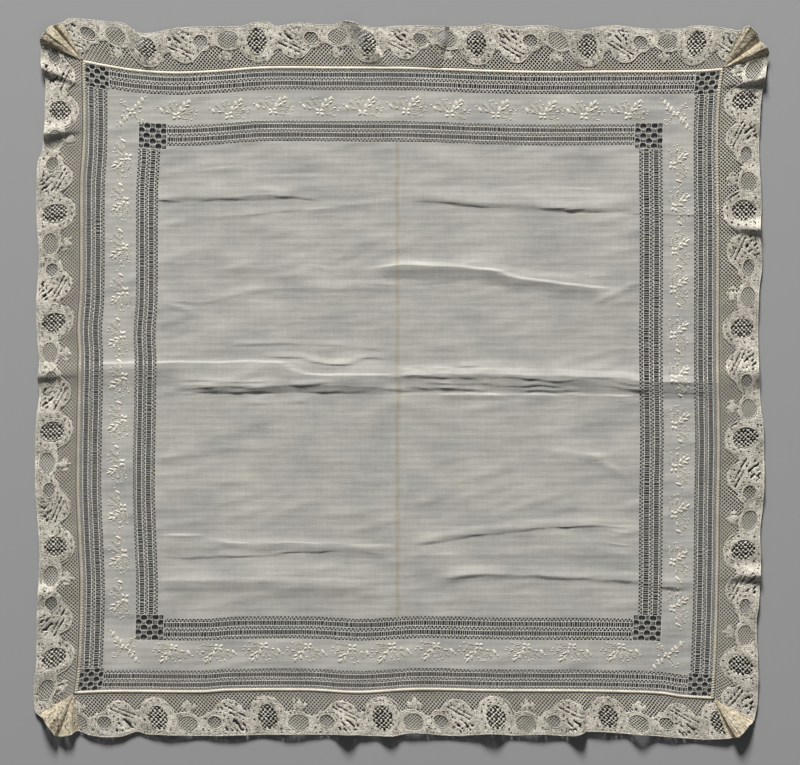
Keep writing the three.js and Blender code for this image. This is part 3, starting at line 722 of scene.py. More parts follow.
class Nodes:
    """Short calls for the nodes of one material."""

    def __init__(self, name, roughness, sheen):
        self.material = bpy.data.materials.new(name)
        self.material.use_nodes = True
        self.tree = self.material.node_tree
        self.shader = self.tree.nodes["Principled BSDF"]
        self.fill(self.shader, {
            "Roughness": roughness, "Specular IOR Level": 0.25,
            "Sheen Weight": sheen, "Sheen Roughness": 0.5,
        })
        self.place = self.new("TexCoord").outputs["Object"]

    def fill(self, node, values):
        """Links or sets a node's sockets."""
        for name, value in values.items():
            if isinstance(value, bpy.types.NodeSocket):
                self.tree.links.new(value, node.inputs[name])
            else:
                node.inputs[name].default_value = value
        return node

    def new(self, kind, values=()):
        return self.fill(self.tree.nodes.new("ShaderNode" + kind), dict(values))

    def noise_at(self, place, detail):
        return self.new(
            "TexNoise", {"Scale": 1.0, "Detail": detail, "Roughness": 0.55, "Vector": place}
        )

    def noise(self, x, y, z, detail=3.0):
        """Soft patches, so many to the metre each way."""
        mapping = self.new("Mapping", {"Scale": (x, y, z), "Vector": self.place})
        return self.noise_at(mapping.outputs["Vector"], detail).outputs["Fac"]

    def crumpled(self, x, y, degrees):
        """Fine ridges of pressed-in crumples, longer one way and turned a little."""
        mapping = self.new("Mapping")
        mapping.vector_type = "TEXTURE"
        self.fill(mapping, {
            "Scale": (1 / x, 1 / y, 1), "Rotation": (0, 0, math.radians(degrees)),
            "Vector": self.place,
        })
        node = self.noise_at(mapping.outputs["Vector"], 3.0)
        node.noise_type = "RIDGED_MULTIFRACTAL"
        return node.outputs["Fac"]

    def waves(self, direction, per_metre):
        node = self.new("TexWave", {
            "Scale": per_metre * math.pi / 10, "Distortion": 1.0, "Detail": 1.0,
            "Detail Scale": 0.3, "Vector": self.place,
        })
        node.bands_direction = direction
        return node.outputs["Fac"]

    def split(self, vector):
        return self.new("SeparateXYZ", {"Vector": vector}).outputs

    def add(self, first, second):
        return self.math("ADD", first, second)

    def times(self, first, second):
        return self.math("MULTIPLY", first, second)

    def subtract(self, first, second):
        return self.math("SUBTRACT", first, second)

    def math(self, kind, first, second=0.0):
        node = self.new("Math", {0: first, 1: second})
        node.operation = kind
        return node.outputs["Value"]

    def ramp(self, factor, stops):
        """Colours in display levels at the stops of a factor."""
        node = self.new("ValToRGB", {"Fac": factor})
        elements = node.color_ramp.elements
        while len(elements) < len(stops):
            elements.new(0.5)
        for element, (at, colour) in zip(elements, stops):
            element.position = at
            element.color = (*(linear(c) for c in colour), 1)
        return node.outputs["Color"]

    def multiply(self, first, second):
        """One colour darkened by another."""
        node = self.new("Mix")
        node.data_type = "RGBA"
        node.blend_type = "MULTIPLY"
        self.fill(node, {"Factor": 1.0, "A": first, "B": second})
        return node.outputs["Result"]

    def finish(self, colour, height, depth, strength):
        """The material, with a colour and a relief so many metres deep."""
        bump = self.new("Bump", {"Distance": depth, "Strength": strength, "Height": height})
        self.fill(self.shader, {"Base Color": colour, "Normal": bump.outputs["Normal"]})
        return self.material


WEAVE = 0.2  # depth of the weave in the linen's relief
CRUMPLE = 2.6  # depth of the crumples beside it
# The yellowed line of the middle fold, in metres: its x, how far it wanders, how fast it fades
# to each side and how far from the middle it ends.
STAIN_X = -0.0035
STAIN_WANDER = 0.003
STAIN_FADE = 600.0
STAIN_END = 0.119
# Painted shade: faces turned down, such as the deep walls round the openings and the cloth's
# undersides, are darkened to this share of the thread's tone, to stand in for the shade down there.
PAINTED_UNDERSIDE_SHADE = (72, 71, 70)  # share of a thread's tone on the faces turned down, into the openings
# The upward part of a face's normal below which it gets the painted underside shade, and how fast
# that changes.
PAINTED_SHADE_BELOW = 0.08
PAINTED_SHADE_CHANGE = 5.0
WHITE = (255, 255, 255)


def linear(level):
    """A display level from 0 to 255 as linear light."""
    share = level / 255
    return share / 12.92 if share <= 0.04045 else ((share + 0.055) / 1.055) ** 2.4


def linen_material():
    """Plain weave with slubs in both directions, fine crumples and a yellowed middle fold."""
    nodes = Nodes("linen_weave", 0.85, 0.1)
    threads = nodes.add(nodes.noise(1600, 110, 300), nodes.noise(110, 1600, 300))
    slubs = nodes.add(
        nodes.noise(2600, 30, 100, detail=1.0), nodes.noise(30, 2600, 100, detail=1.0)
    )
    tone = nodes.add(nodes.times(threads, 0.4), nodes.times(slubs, 0.1))
    streaks = nodes.ramp(
        tone, [(0.36, (197, 196, 191)), (0.5, (204, 203, 197)), (0.64, (212, 210, 204))]
    )
    clouds = nodes.ramp(
        nodes.noise(34, 50, 30, detail=6.0), [(0.32, (229, 230, 232)), (0.66, (255, 254, 251))]
    )
    crumples = nodes.add(nodes.crumpled(12, 45, 24), nodes.crumpled(12, 50, -19))
    crumples = nodes.add(crumples, nodes.times(nodes.crumpled(34, 120, 9), 0.7))
    weave = nodes.add(nodes.add(nodes.waves("X", 1700), nodes.waves("Y", 1700)), threads)
    relief = nodes.add(nodes.times(weave, WEAVE), nodes.times(crumples, CRUMPLE))

    axes = nodes.split(nodes.place)
    wandering = nodes.subtract(axes["X"], nodes.times(nodes.noise(1, 60, 1), STAIN_WANDER))
    off = nodes.math("ABSOLUTE", nodes.subtract(wandering, STAIN_X))
    within = nodes.math("LESS_THAN", nodes.math("ABSOLUTE", axes["Y"]), STAIN_END)
    near = nodes.times(nodes.subtract(1.0, nodes.times(off, STAIN_FADE)), within)
    line = nodes.times(nodes.math("MAXIMUM", near), nodes.noise(1, 160, 1))
    yellowed = nodes.ramp(line, [(0.0, WHITE), (1.0, (233, 220, 193))])
    colour = nodes.multiply(nodes.multiply(streaks, clouds), yellowed)
    return nodes.finish(colour, relief, 0.001, 0.5)


def thread_material(name, dark, light, sheen, per_metre, mottle=0.4, depth=0.00025):
    """Twisted cotton or linen thread: fine twist and small uneven tone. Faces turned down, into the
    openings and under the cloth, are painted darker as shade.
    """
    nodes = Nodes(name, 0.65, sheen)
    patches = nodes.noise(130, 130, 130)
    fine = nodes.noise(per_metre, per_metre, per_metre, detail=2.0)
    tone = nodes.add(nodes.times(patches, 1 - mottle), nodes.times(fine, mottle))
    colour = nodes.ramp(tone, [(0.38, dark), (0.62, light)])
    # Painted shade: faces turned down or steeply sideways, such as the walls into the openings, are
    # darkened towards the painted underside tone.
    normal = nodes.new("NewGeometry").outputs["True Normal"]
    above = nodes.subtract(nodes.split(normal)["Z"], PAINTED_SHADE_BELOW)
    painted_shade = nodes.ramp(nodes.times(above, PAINTED_SHADE_CHANGE), [(0.0, PAINTED_UNDERSIDE_SHADE), (1.0, WHITE)])
    return nodes.finish(nodes.multiply(colour, painted_shade), fine, depth, 0.6)


# ---------------------------------------------------------------- linen ground

# Steps of the grid: along a border, along the middle. The folds run across, so y steps are finer,
# and finest in the zones of the creases.
GROUND_STEPS = {"x": (1.7, 2.4), "y": (0.9, 0.62)}
CREASE_ZONES = [(-106, -98), (-92, -72), (-12, 13), (44, 60), (81, 97)]
CREASE_STEP = 0.29
GROUND_START = 0.6  # in from the hem: the first grid line, under the roll
# How far in from the hem the openwork squares reach, along x and along y.
SQUARES = [
    {"x": (1.5, 13.6), "y": (1.5, 12.6), "steps": (2.6, 2.35), "ring": (1.72, 1.58)},
    {"x": (28.2, 42.2), "y": (26.5, 39.3), "steps": (2.85, 2.55), "ring": (1.86, 1.7)},
]


def ground_lines(low, high, axis):
    """Grid lines from one hem to the other that keep to the edges of bands and squares."""
    marks = []
    for side, sign in ((low, 1), (high, -1)):
        ends = [square[axis][1] for square in SQUARES]
        near = [GROUND_START, *OUTER_BAND[side], *INNER_BAND[side], *ends]
        marks += [HEM[side] + sign * off for off in near]
    marks = sorted(set(marks))
    middle = (marks[0] + marks[-1]) / 2
    border, inside = GROUND_STEPS[axis]
    parts = []
    for a, b in zip(marks, marks[1:]):
        if not a < middle < b:
            parts.append(spaced(a, b, border)[:-1])
            continue
        cuts = sorted([a, *(z for zone in CREASE_ZONES for z in zone if axis == "y"), b])
        for i, (start, end) in enumerate(zip(cuts, cuts[1:])):
            parts.append(spaced(start, end, CREASE_STEP if i % 2 else inside)[:-1])
    return np.append(np.concatenate(parts), marks[-1])


def inward(x, y):
    """How far a place is in from each side's hem."""
    return {
        "left": x - HEM["left"], "right": HEM["right"] - x,
        "bottom": y - HEM["bottom"], "top": HEM["top"] - y,
    }


def drawn(x, y):
    """True where the ground is drawn out for a band or an openwork square."""
    off = inward(x, y)
    open_work = np.zeros(x.shape, bool)
    for band, square in zip((OUTER_BAND, INNER_BAND), SQUARES):
        far_x, far_y = square["x"][1], square["y"][1]
        along_x = (off["left"] > far_x) & (off["right"] > far_x)
        along_y = (off["bottom"] > far_y) & (off["top"] > far_y)
        for side in ("top", "bottom"):
            open_work |= between(off[side], band[side]) & along_x
        for side in ("left", "right"):
            open_work |= between(off[side], band[side]) & along_y
        for side_x in ("left", "right"):
            for side_y in ("bottom", "top"):
                open_work |= between(off[side_x], square["x"]) & between(off[side_y], square["y"])
    return open_work


def linen_ground():
    """The plain linen: the centre and the field of the sprays, with the folds and creases."""
    lines = [ground_lines(*ENDS[axis], axis) for axis in "xy"]
    x, y = np.meshgrid(*lines, indexing="ij")
    keep = ~drawn(*cell_middles(x, y))
    return grid(on_cloth(x, y, LINEN_Z), keep.ravel())


# ---------------------------------------------------------------- drawn-thread bands

STEP = 1.5  # between points of a long thread
ZIGZAG_PITCH = 1.9
BAR_PITCH = 1.12
# Rows of one band as shares of its width, from the side nearer the hem.
ZIGZAGS = [(0.0, 0.14), (0.405, 0.55), (0.845, 0.99)]
LADDERS = [(0.16, 0.375), (0.585, 0.81)]
LINES = [0.15, 0.39, 0.57, 0.825]
BAR_THREAD = 0.12
ZIGZAG_THREAD = 0.15
LINE_THREAD = 0.16
BUNDLE = 7.0  # how far down a bundle of the drawn work reaches, for its half width
# Unevenness: how far a line drifts, and the spread of the zigzags' and the bars' places.
LINE_DRIFT = 0.08
ZIGZAG_SPREAD = 0.07
ZIGZAG_REACH_SPREAD = 0.006  # as a share of the band's width
BAR_SPREAD = 0.13
BAR_LEAN = 0.07


def side_place(side, along, off):
    """Cloth coordinates of a place along one side, some way inward from its hem."""
    if side == "top":
        return along, HEM["top"] - off
    if side == "bottom":
        return along, HEM["bottom"] + off
    if side == "left":
        return HEM["left"] + off, along
    return HEM["right"] - off, along


def band_side(side, near, far, inset, seed, dice):
    """One side of a band, from near to far inward, between two squares that reach inset in."""
    width = far - near
    start, end = ENDS[AXIS[side]]
    low, high = HEM[start] + inset, HEM[end] - inset
    parts = []

    def thread(along, off, radius):
        x, y = np.broadcast_arrays(*side_place(side, along, off))
        parts.append(tubes(on_cloth(x, y, BAND_Z), radius, 4, BUNDLE))

    for share in LINES:
        along = spaced(low, high, STEP)
        drift = LINE_DRIFT * wavy(along, share * 40, seed, (7, 30))
        thread(along[None], (near + width * share + drift)[None], LINE_THREAD)
    for top, bottom in ZIGZAGS:
        count = round((high - low) / ZIGZAG_PITCH) * 2 + 1
        corners = np.linspace(low, high, count) + dice.normal(0, ZIGZAG_SPREAD, count)
        turns = np.where(np.arange(count) % 2 == 0, top, bottom)
        offs = near + width * (turns + dice.normal(0, ZIGZAG_REACH_SPREAD, count))
        pairs = [np.stack([row[:-1], row[1:]], axis=1) for row in (corners, offs)]
        thread(*pairs, ZIGZAG_THREAD)
    for top, bottom in LADDERS:
        count = round((high - low) / BAR_PITCH)
        along = np.linspace(low, high, count) + dice.normal(0, BAR_SPREAD, count)
        lean = dice.normal(0, BAR_LEAN, count)
        bars = np.stack([along - lean, along + lean], axis=1)
        off = np.broadcast_to(near + width * np.array([top, bottom]), bars.shape)
        thread(bars, off, BAR_THREAD)
    return parts


def drawn_band(band, square, seed):
    """Ladders of bars and zigzags of bundled threads, with woven lines between them."""
    dice = np.random.default_rng(seed)
    parts = []
    for side, (near, far) in band.items():
        parts += band_side(side, near, far, square[AXIS[side]][1], seed, dice)
    return parts


# ---------------------------------------------------------------- openwork corner squares

RING_THREAD = 0.14
RING_DEPTH = 7.0  # of a buttonholed ring, for its half width
RING_POINTS = 17
RING_SPREAD = 0.12  # of the rings' places
RING_SIZES = (0.94, 1.04)  # least and greatest, as shares of the square's own ring
KNOT_THREAD = 0.06
KNOT_ARM = 0.75
# Cells of one square: every other one holds a ring, and the rest hold a knot.
CELLS = np.array([(i, j) for i in range(-2, 3) for j in range(-2, 3)], float)


def openwork_square(square, middle, dice):
    """Ringed holes, crossed knots and edge threads of one square, round its middle."""
    half = [(square[axis][1] - square[axis][0]) / 2 for axis in "xy"]

    def place(x, y, lift=BAND_Z):
        x, y = (np.clip(at, -limit, limit) for at, limit in zip((x, y), half))
        return on_cloth(middle[0] + x, middle[1] + y, lift)

    spots = CELLS * square["steps"] + dice.normal(0, RING_SPREAD, CELLS.shape)
    holed = np.mod(CELLS.sum(axis=1), 2) == 1
    holes, knots = spots[holed], spots[~holed]
    size = dice.uniform(*RING_SIZES, (len(holes), 2))
    turn = np.linspace(0, math.tau, RING_POINTS)
    ring_x = holes[:, :1] + square["ring"][0] * size[:, :1] * np.cos(turn)
    ring_y = holes[:, 1:] + square["ring"][1] * size[:, 1:] * np.sin(turn)
    threads = [tubes(place(ring_x, ring_y), RING_THREAD, 4, RING_DEPTH)]
    arm = np.linspace(-KNOT_ARM, KNOT_ARM, 4)
    for lean in (1, -1):
        crossed = place(knots[:, :1] + arm, knots[:, 1:] + arm * lean, BAND_Z + 0.1)
        threads.append(tubes(crossed, KNOT_THREAD, 4))
    corners = np.array([(-1, -1), (1, -1), (1, 1), (-1, 1), (-1, -1)]) * half
    along = np.linspace(0, 4, 41)
    edge = place(*(np.interp(along, range(5), corner) for corner in corners.T))
    threads.append(tubes(edge[None], RING_THREAD, 4, RING_DEPTH))
    return threads


def openwork():
    """The threads of all eight openwork squares."""
    dice = np.random.default_rng(17)
    threads = []
    for square in SQUARES:
        for sign_x, side_x in ((1, "left"), (-1, "right")):
            for sign_y, side_y in ((1, "bottom"), (-1, "top")):
                middle_x = HEM[side_x] + sign_x * sum(square["x"]) / 2
                middle_y = HEM[side_y] + sign_y * sum(square["y"]) / 2
                threads += openwork_square(square, (middle_x, middle_y), dice)
    return threads


# ---------------------------------------------------------------- whitework sprays

# Flower middles along each side, in cloth coordinates, and how far in from the hem they sit.
FLOWERS = {
    "top": (-114, -88, -66, -42, -20.5, 1.5, 23.5, 46.5, 70, 91, 113),
    "right": (-113.5, -90, -66.5, -44, -22, 1.5, 23, 46, 65, 86.5, 108),
    "bottom": (-113.5, -91.5, -68.5, -46.5, -24, -4, 18, 39.5, 63.5, 87, 111.5),
    "left": (-110, -87, -64.5, -42, -20, 1, 21.5, 43.5, 66, 89, 110.5),
}
FLOWER_INWARD = 22.8
# The direction of each side's sprays: their own x axis on the cloth.
SIDE_TURN = {"top": (1, 0), "bottom": (-1, 0), "right": (0, 1), "left": (0, -1)}


def spline(points, count):
    """A smooth curve through control points (Catmull-Rom)."""
    rows = np.asarray(points, float)
    held = np.concatenate([2 * rows[:1] - rows[1:2], rows, 2 * rows[-1:] - rows[-2:-1]])
    place = np.linspace(0, len(rows) - 1, count)
    i = np.minimum(place.astype(int), len(rows) - 2)
    t = (place - i)[:, None]
    a, b, c, d = held[i], held[i + 1], held[i + 2], held[i + 3]
    return 0.5 * (2 * b + (c - a) * t + (2 * a - 5 * b + 4 * c - d) * t ** 2
                  + (3 * b - a - 3 * c + d) * t ** 3)


def pads(middles, lengths, widths, turns, point, lift, rise, shape=(7, 4)):
    """Raised satin-stitch pads, each a domed leaf or dot. point(x, y, lift) places them, and shape
    is how many points each has along and across."""
    t, u = np.meshgrid(np.linspace(-1, 1, shape[0]), np.linspace(-1, 1, shape[1]), indexing="ij")
    half = np.sqrt(np.clip(1 - np.abs(t) ** 2.2, 0.03, 1))
    x = t * lengths[:, None, None] / 2
    y = u * half * widths[:, None, None] / 2
    cos, sin = np.cos(turns)[:, None, None], np.sin(turns)[:, None, None]
    real_x = middles[:, 0, None, None] + x * cos - y * sin
    real_y = middles[:, 1, None, None] + x * sin + y * cos
    dome = np.broadcast_to(rise * half * np.sqrt(np.clip(1 - u ** 2, 0, 1)), real_x.shape)
    points = point(real_x, real_y, lift + dome)
    return [grid(one) for one in points]


# One spray, in mm from its flower: pads as (x, y, length, width, turn in degrees).
SPRAY_PADS = np.array([
    (1.1, 0.8, 2.0, 1.5, 35), (-1.1, 0.85, 2.0, 1.5, 143), (-1.05, -0.85, 2.0, 1.5, 217),
    (1.1, -0.8, 2.0, 1.5, 325),
    (1.9, 3.1, 2.9, 1.35, 100), (3.7, 3.2, 2.9, 1.35, 28), (3.4, 5.6, 2.9, 1.3, 98),
    (5.4, 6.7, 2.8, 1.35, 55), (5.6, 4.8, 2.2, 1.1, 22),
    (-7.8, 2.6, 3.0, 1.5, 118), (-4.6, 1.9, 1.8, 0.9, 160), (7.4, 2.0, 1.7, 0.8, 15),
])
SPRAY_DOTS = np.array([
    (6.8, 6.6), (-3.4, 6.9), (-1.5, 7.3), (0.1, 5.4), (9.7, 0.6), (10.1, 2.1), (7.5, -1.8),
    (-9.6, 4.2),
])
SPRAY_STEMS = [
    [(0.6, 1.4), (1.8, 3.0), (3.2, 5.0), (5.4, 7.6)],
    [(1.2, 1.2), (3.6, 2.6), (6.4, 3.0), (9.2, 4.3)],
    [(1.4, 0.2), (3.6, 0.9), (6.0, 0.6), (8.2, 1.6)],
    [(-1.2, 0.8), (-3.4, 2.2), (-5.6, 2.2), (-7.8, 2.8)],
    [(-3.4, 2.2), (-4.6, 4.2), (-6.4, 5.6)],
    [(-0.4, 1.6), (-1.0, 3.6), (-2.6, 5.6)],
    [(1.6, -0.6), (4.0, -1.6), (6.2, -1.2)],
]
LEAF_RISE = 0.38
DOT_RISE = 0.28
DOT_SIZE = 0.9
STEM_RADIUS = 0.13
STITCHES = 6  # pairs of fern stitches along each stem
STITCH = (0.25, 1.15)  # how far from the stem each starts and ends
STITCH_LEAN = 0.9  # radians off the stem's direction
STITCH_RADIUS = 0.19
# Spread of the places of a spray's parts, and of a leaf's turn in degrees.
SPREAD = {"flower": 0.25, "leaf": 0.18, "turn": 6, "dot": 0.15, "stem": 0.12, "stitch": 0.15}
# The flowers of the corners: x, y, and whether the branches lean up to the right or to the left.
CORNER_FLOWERS = [
    (-137.0, 133.5, 1), (136.7, 133.1, -1), (-138.2, -134.1, -1), (134.1, -137.2, 1),
]
# One corner's branch, in mm from its flower, mirrored for the opposite branch.
BRANCH_PADS = np.array([
    (1.1, 0.8, 2.0, 1.5, 38), (-1.1, 0.8, 2.0, 1.5, 142),
    (2.6, 2.9, 2.9, 1.35, 108), (4.0, 4.3, 3.0, 1.4, 112), (5.9, 6.6, 3.0, 1.4, 104),
    (4.8, 2.6, 1.9, 0.9, 20),
])
BRANCH_DOTS = np.array([(7.6, 7.9), (-3.0, 4.4), (-4.6, 5.4), (-5.4, 3.6), (4.4, 0.4)])
BRANCH_STEMS = [
    [(0.8, 0.8), (2.4, 2.6), (4.2, 4.0), (6.6, 7.2)],
    [(-0.8, 1.0), (-2.2, 2.8), (-3.6, 3.8), (-5.4, 5.6)],
]


def spray_parts(flower, axes, dice, motif):
    """The pads, dots and stems of one spray. Its own x and y run along the axes on the cloth."""
    leaves, dots = motif["pads"], motif["dots"]
    axes = np.array(axes, float)
    middle = np.array(flower) + dice.normal(0, SPREAD["flower"], 2)

    def place(x, y, lift):
        turned = np.stack([x, y], axis=-1) @ axes
        return on_cloth(middle[0] + turned[..., 0], middle[1] + turned[..., 1], lift)

    wobble = dice.normal(0, SPREAD["leaf"], (len(leaves), 2))
    parts = pads(
        leaves[:, :2] + wobble, leaves[:, 2] * dice.uniform(0.9, 1.1, len(leaves)), leaves[:, 3],
        np.radians(leaves[:, 4] + dice.normal(0, SPREAD["turn"], len(leaves))), place, LINEN_Z,
        LEAF_RISE,
    )
    sizes = np.full(len(dots), DOT_SIZE)
    parts += pads(
        dots + dice.normal(0, SPREAD["dot"], dots.shape), sizes, sizes, np.zeros(len(dots)),
        place, LINEN_Z, DOT_RISE, shape=(5, 4),
    )
    for stem in motif["stems"]:
        line = spline(np.array(stem) + dice.normal(0, SPREAD["stem"], (len(stem), 2)), 9)
        path = place(line[None, :, 0], line[None, :, 1], LINEN_Z + 0.03)
        parts.append(tubes(path, STEM_RADIUS, 3))
    if np.linalg.det(axes) < 0:
        parts = [(points, quads[:, ::-1]) for points, quads in parts]
    return parts


def fern_parts(flower, axes, dice, motif):
    """Pairs of fine stitches that stand off each stem of one spray."""
    starts, ends = [], []
    for stem in motif["stems"]:
        line = spline(stem, STITCHES + 2)
        along = unit(np.gradient(line, axis=0))
        for lean in (STITCH_LEAN, -STITCH_LEAN):
            cos, sin = math.cos(lean), math.sin(lean)
            turned = along @ np.array([[cos, sin], [-sin, cos]])
            starts.append(line[1:-1] + turned[1:-1] * STITCH[0])
            ends.append(line[1:-1] + turned[1:-1] * STITCH[1])
    ends = np.concatenate(ends)
    ends = ends + dice.normal(0, SPREAD["stitch"], ends.shape)
    pairs = np.stack([np.concatenate(starts), ends], axis=1)
    pairs = np.array(flower) + pairs @ np.array(axes, float)
    path = on_cloth(pairs[..., 0], pairs[..., 1], LINEN_Z + 0.04)
    return [tubes(path, STITCH_RADIUS, 3)]


def sprays():
    """Satin pads and stems of all the sprays, and the fine stitches beside them."""
    dice = np.random.default_rng(21)
    parts, ferns = [], []
    spray = {"pads": SPRAY_PADS, "dots": SPRAY_DOTS, "stems": SPRAY_STEMS}
    branch = {"pads": BRANCH_PADS, "dots": BRANCH_DOTS, "stems": BRANCH_STEMS}
    for side, places in FLOWERS.items():
        axes = (SIDE_TURN[side], SIDE_TURN[side][::-1])
        for place in places:
            flower = side_place(side, place, FLOWER_INWARD)
            parts += spray_parts(flower, axes, dice, spray)
            ferns += fern_parts(flower, axes, dice, spray)
    for x, y, lean in CORNER_FLOWERS:
        for sign in (1, -1):
            axes = ((sign, 0), (0, sign * lean))
            parts += spray_parts((x, y), axes, dice, branch)
            ferns += fern_parts((x, y), axes, dice, branch)
    return parts, ferns


# ---------------------------------------------------------------- hem

HEM_RADIUS = 0.82
HEM_Z = 0.62  # of the roll's middle
HEM_STEP = 1.1
WHIP_PITCH = 1.3
WHIP_RADIUS = 0.2
WHIP_LIFT = 0.12  # of a whipping stitch's middle over the roll
WHIP_TURN = (-0.35, 0.95 * math.pi)  # where each starts and ends round the roll, from outside
WHIP_LEAN = 0.55  # how far each slants along the hem, to both sides
WHIP_SPREAD = 0.06
WHIP_POINTS = 5


def hem_path(inward, step):
    """Cloth coordinates round the hem, a fixed distance inward, clockwise from the top left."""
    x0, x1 = HEM["left"] + inward, HEM["right"] - inward
    y0, y1 = HEM["bottom"] + inward, HEM["top"] - inward
    across, up = spaced(x0, x1, step), spaced(y0, y1, step)
    x = np.concatenate([across, np.full(len(up), x1), across[::-1], np.full(len(up), x0)])
    y = np.concatenate([np.full(len(across), y1), up[::-1], np.full(len(across), y0), up])
    return x, y


def hem_roll():
    """The narrow rolled hem, all the way round."""
    x, y = hem_path(HEM_RADIUS, HEM_STEP)
    return [tubes(on_cloth(x, y, HEM_Z)[None], HEM_RADIUS, 8)]


def whipping():
    """Slanting stitches over the roll that join the lace to the hem."""
    dice = np.random.default_rng(8)
    x, y = hem_path(HEM_RADIUS, WHIP_PITCH)
    middle = on_cloth(x, y, HEM_Z)
    along = unit(np.gradient(middle, axis=0))
    outward = unit(np.cross(UP, along))
    turn = np.linspace(*WHIP_TURN, WHIP_POINTS)
    reach = HEM_RADIUS + WHIP_LIFT
    lean = np.linspace(-WHIP_LEAN, WHIP_LEAN, WHIP_POINTS)
    lean = lean + dice.normal(0, WHIP_SPREAD, (len(x), 1))
    path = (
        middle[:, None]
        + outward[:, None] * (np.cos(turn) * reach)[:, None]
        + UP * (np.sin(turn) * reach)[:, None]
        + along[:, None] * lean[..., None]
    )
    return [tubes(path, WHIP_RADIUS, 3)]


# ---------------------------------------------------------------- bobbin-lace edging

NET_PITCH = 1.9
NET_SLOPE = 0.95  # mm along for each mm outward
NET_THREAD = 0.16
NET_DEPTH = 5.8  # of a net thread, for its half width
NET_TOP = 11.4  # how far out from the hem the open net reaches
NET_OVERLAP = 0.9  # how far the net runs under the dense cloth
NET_SPREAD = 0.05  # of its crossings' places
NET_LIFT = 0.05
NET_CROSSING = 0.06  # how far over and under that its two directions run
PLEATED = 0.5  # share of the lace's lines from which a place belongs to a corner's pleats
CLOTH_STEP = 0.5
CLOTH_LIFT = 0.1
PUFF = 0.4  # how much the middle of the dense cloth stands over its rims
PUFF_SPREAD = 0.35  # of its uneven puffs, as a share of a whole one
WALL = 1.3  # how far down the threads round a hole of the lace reach
SCALLOP_REACH = 14  # how far before its middle a checkered scallop starts
RAGGED = 0.3  # how far the dense cloth's border strays, evenly and then unevenly
RAGGED_PITCH = 2.9
# The holes that have walls: within this share of the checkered oval, and so far round the rest.
CHECKER_WALLS = 1.12
SLOT_WALLS = 0.5
BEAD_WALLS = 0.4

# One repeat, in mm clockwise from the middle of its checkered scallop and mm out from the hem.
BORDER = [  # where the dense cloth ends on the side towards the hem
    [0, 1.5], [4, 2.3], [7.2, 4.8], [9, 8.0], [11.2, 9.0], [13, 6.4], [15.3, 4.4], [18.2, 3.3],
    [21.5, 3.7], [24.5, 5.8], [27.3, 8.6], [30, 9.2], [32.6, 11.2], [35.4, 11.0], [38.6, 9.4],
    [42.4, 9.0], [45.7, 9.6], [47.6, 8.4], [49.2, 5.2], [52, 2.6], [55, 1.5],
]
CHECKER = {"middle": (0.2, 12.1), "radii": (4.9, 6.4)}
CHECK_PITCH = 2.25
CHECK_HOLE = 0.7
MESH = {"middle": (27.1, 14.0), "radii": (3.5, 3.0)}
PETAL = {"middle": (40.8, 14.9), "radii": (4.9, 4.1)}
BUD = {"middle": (39.3, 6.4), "radii": (2.7, 2.8)}
# Slim openings of the leaf: from, to and half width.
SLOTS = [
    ((10.7, 12.3), (21.5, 6.0), 0.27), ((12.9, 13.3), (23.5, 7.1), 0.27),
    ((14.4, 16.5), (17.3, 13.3), 0.45), ((12.0, 16.6), (13.0, 15.4), 0.3),
    ((13.6, 18.4), (15.0, 16.9), 0.3), ((15.9, 19.0), (17.2, 17.4), 0.3),
    ((18.2, 19.2), (19.5, 17.6), 0.3), ((18.4, 16.4), (20.2, 14.4), 0.34),
    ((20.6, 18.6), (21.8, 17.0), 0.3),
]
# Small rings of thread with a hole in each.
BEADS = [
    (20.2, 12.6), (21.9, 11.0), (23.6, 9.7), (25.6, 9.6), (22.4, 13.6), (15.6, 6.4), (18.6, 4.9),
    (21.4, 5.4), (31.4, 12.4), (31.9, 15.4), (30.6, 18.3), (33.2, 17.6), (47.3, 12.0),
    (47.9, 14.8), (47.0, 17.6), (-7.2, 14.2), (-6.6, 9.6), (-4.4, 5.3), (-1.0, 3.6), (2.6, 3.8),
    (5.6, 6.0), (7.0, 9.4), (7.2, 13.4), (6.0, 17.4), (-5.6, 18.0),
]
BEAD_HOLE = 0.42
BEAD_RING = 0.72
# Rows of pinholes beside the dense cloth's two borders: how far in from the border, and pitch.
INNER_PINHOLES = ((1.3, 1.5), (2.9, 1.9))
OUTER_PINHOLES = ((1.1, 1.4), (2.4, 1.7))
OUTER_SHIFT = 0.7  # of the outer rows along the lace
PINHOLE = 0.5
PINHOLE_SHARE = 0.8  # of the rows' holes that are open
LOOSE_SHARE = 0.06  # of all the cloth's cells that are open besides


def local(s):
    """Each place's own distance along the repeat that it is in."""
    turned = np.where(s < FIRST[0], s + ROUND, s)
    k = np.clip(np.searchsorted(FIRST, turned, side="right") - 1, 0, COUNT - 1)
    return (turned - ZERO[k]) / SCALE[k]


def round_scallop(turned):
    """The same distance, but negative just before the middle of the checkered scallop."""
    return np.where(turned > REPEAT - SCALLOP_REACH, turned - REPEAT, turned)


def unpleated(s):
    """True outside the corners' pleats."""
    return along_lace(s, LINE_PLEATED) < PLEATED


def oval(a, b, shape):
    """Less than 1 inside an oval."""
    middle, radii = shape["middle"], shape["radii"]
    return np.hypot((a - middle[0]) / radii[0], (b - middle[1]) / radii[1])


def slot(a, b, start, end, half):
    """True within a slim slot from start to end."""
    run = np.subtract(end, start)
    share = np.clip(((a - start[0]) * run[0] + (b - start[1]) * run[1]) / (run @ run), 0, 1)
    return np.hypot(a - start[0] - share * run[0], b - start[1] - share * run[1]) < half


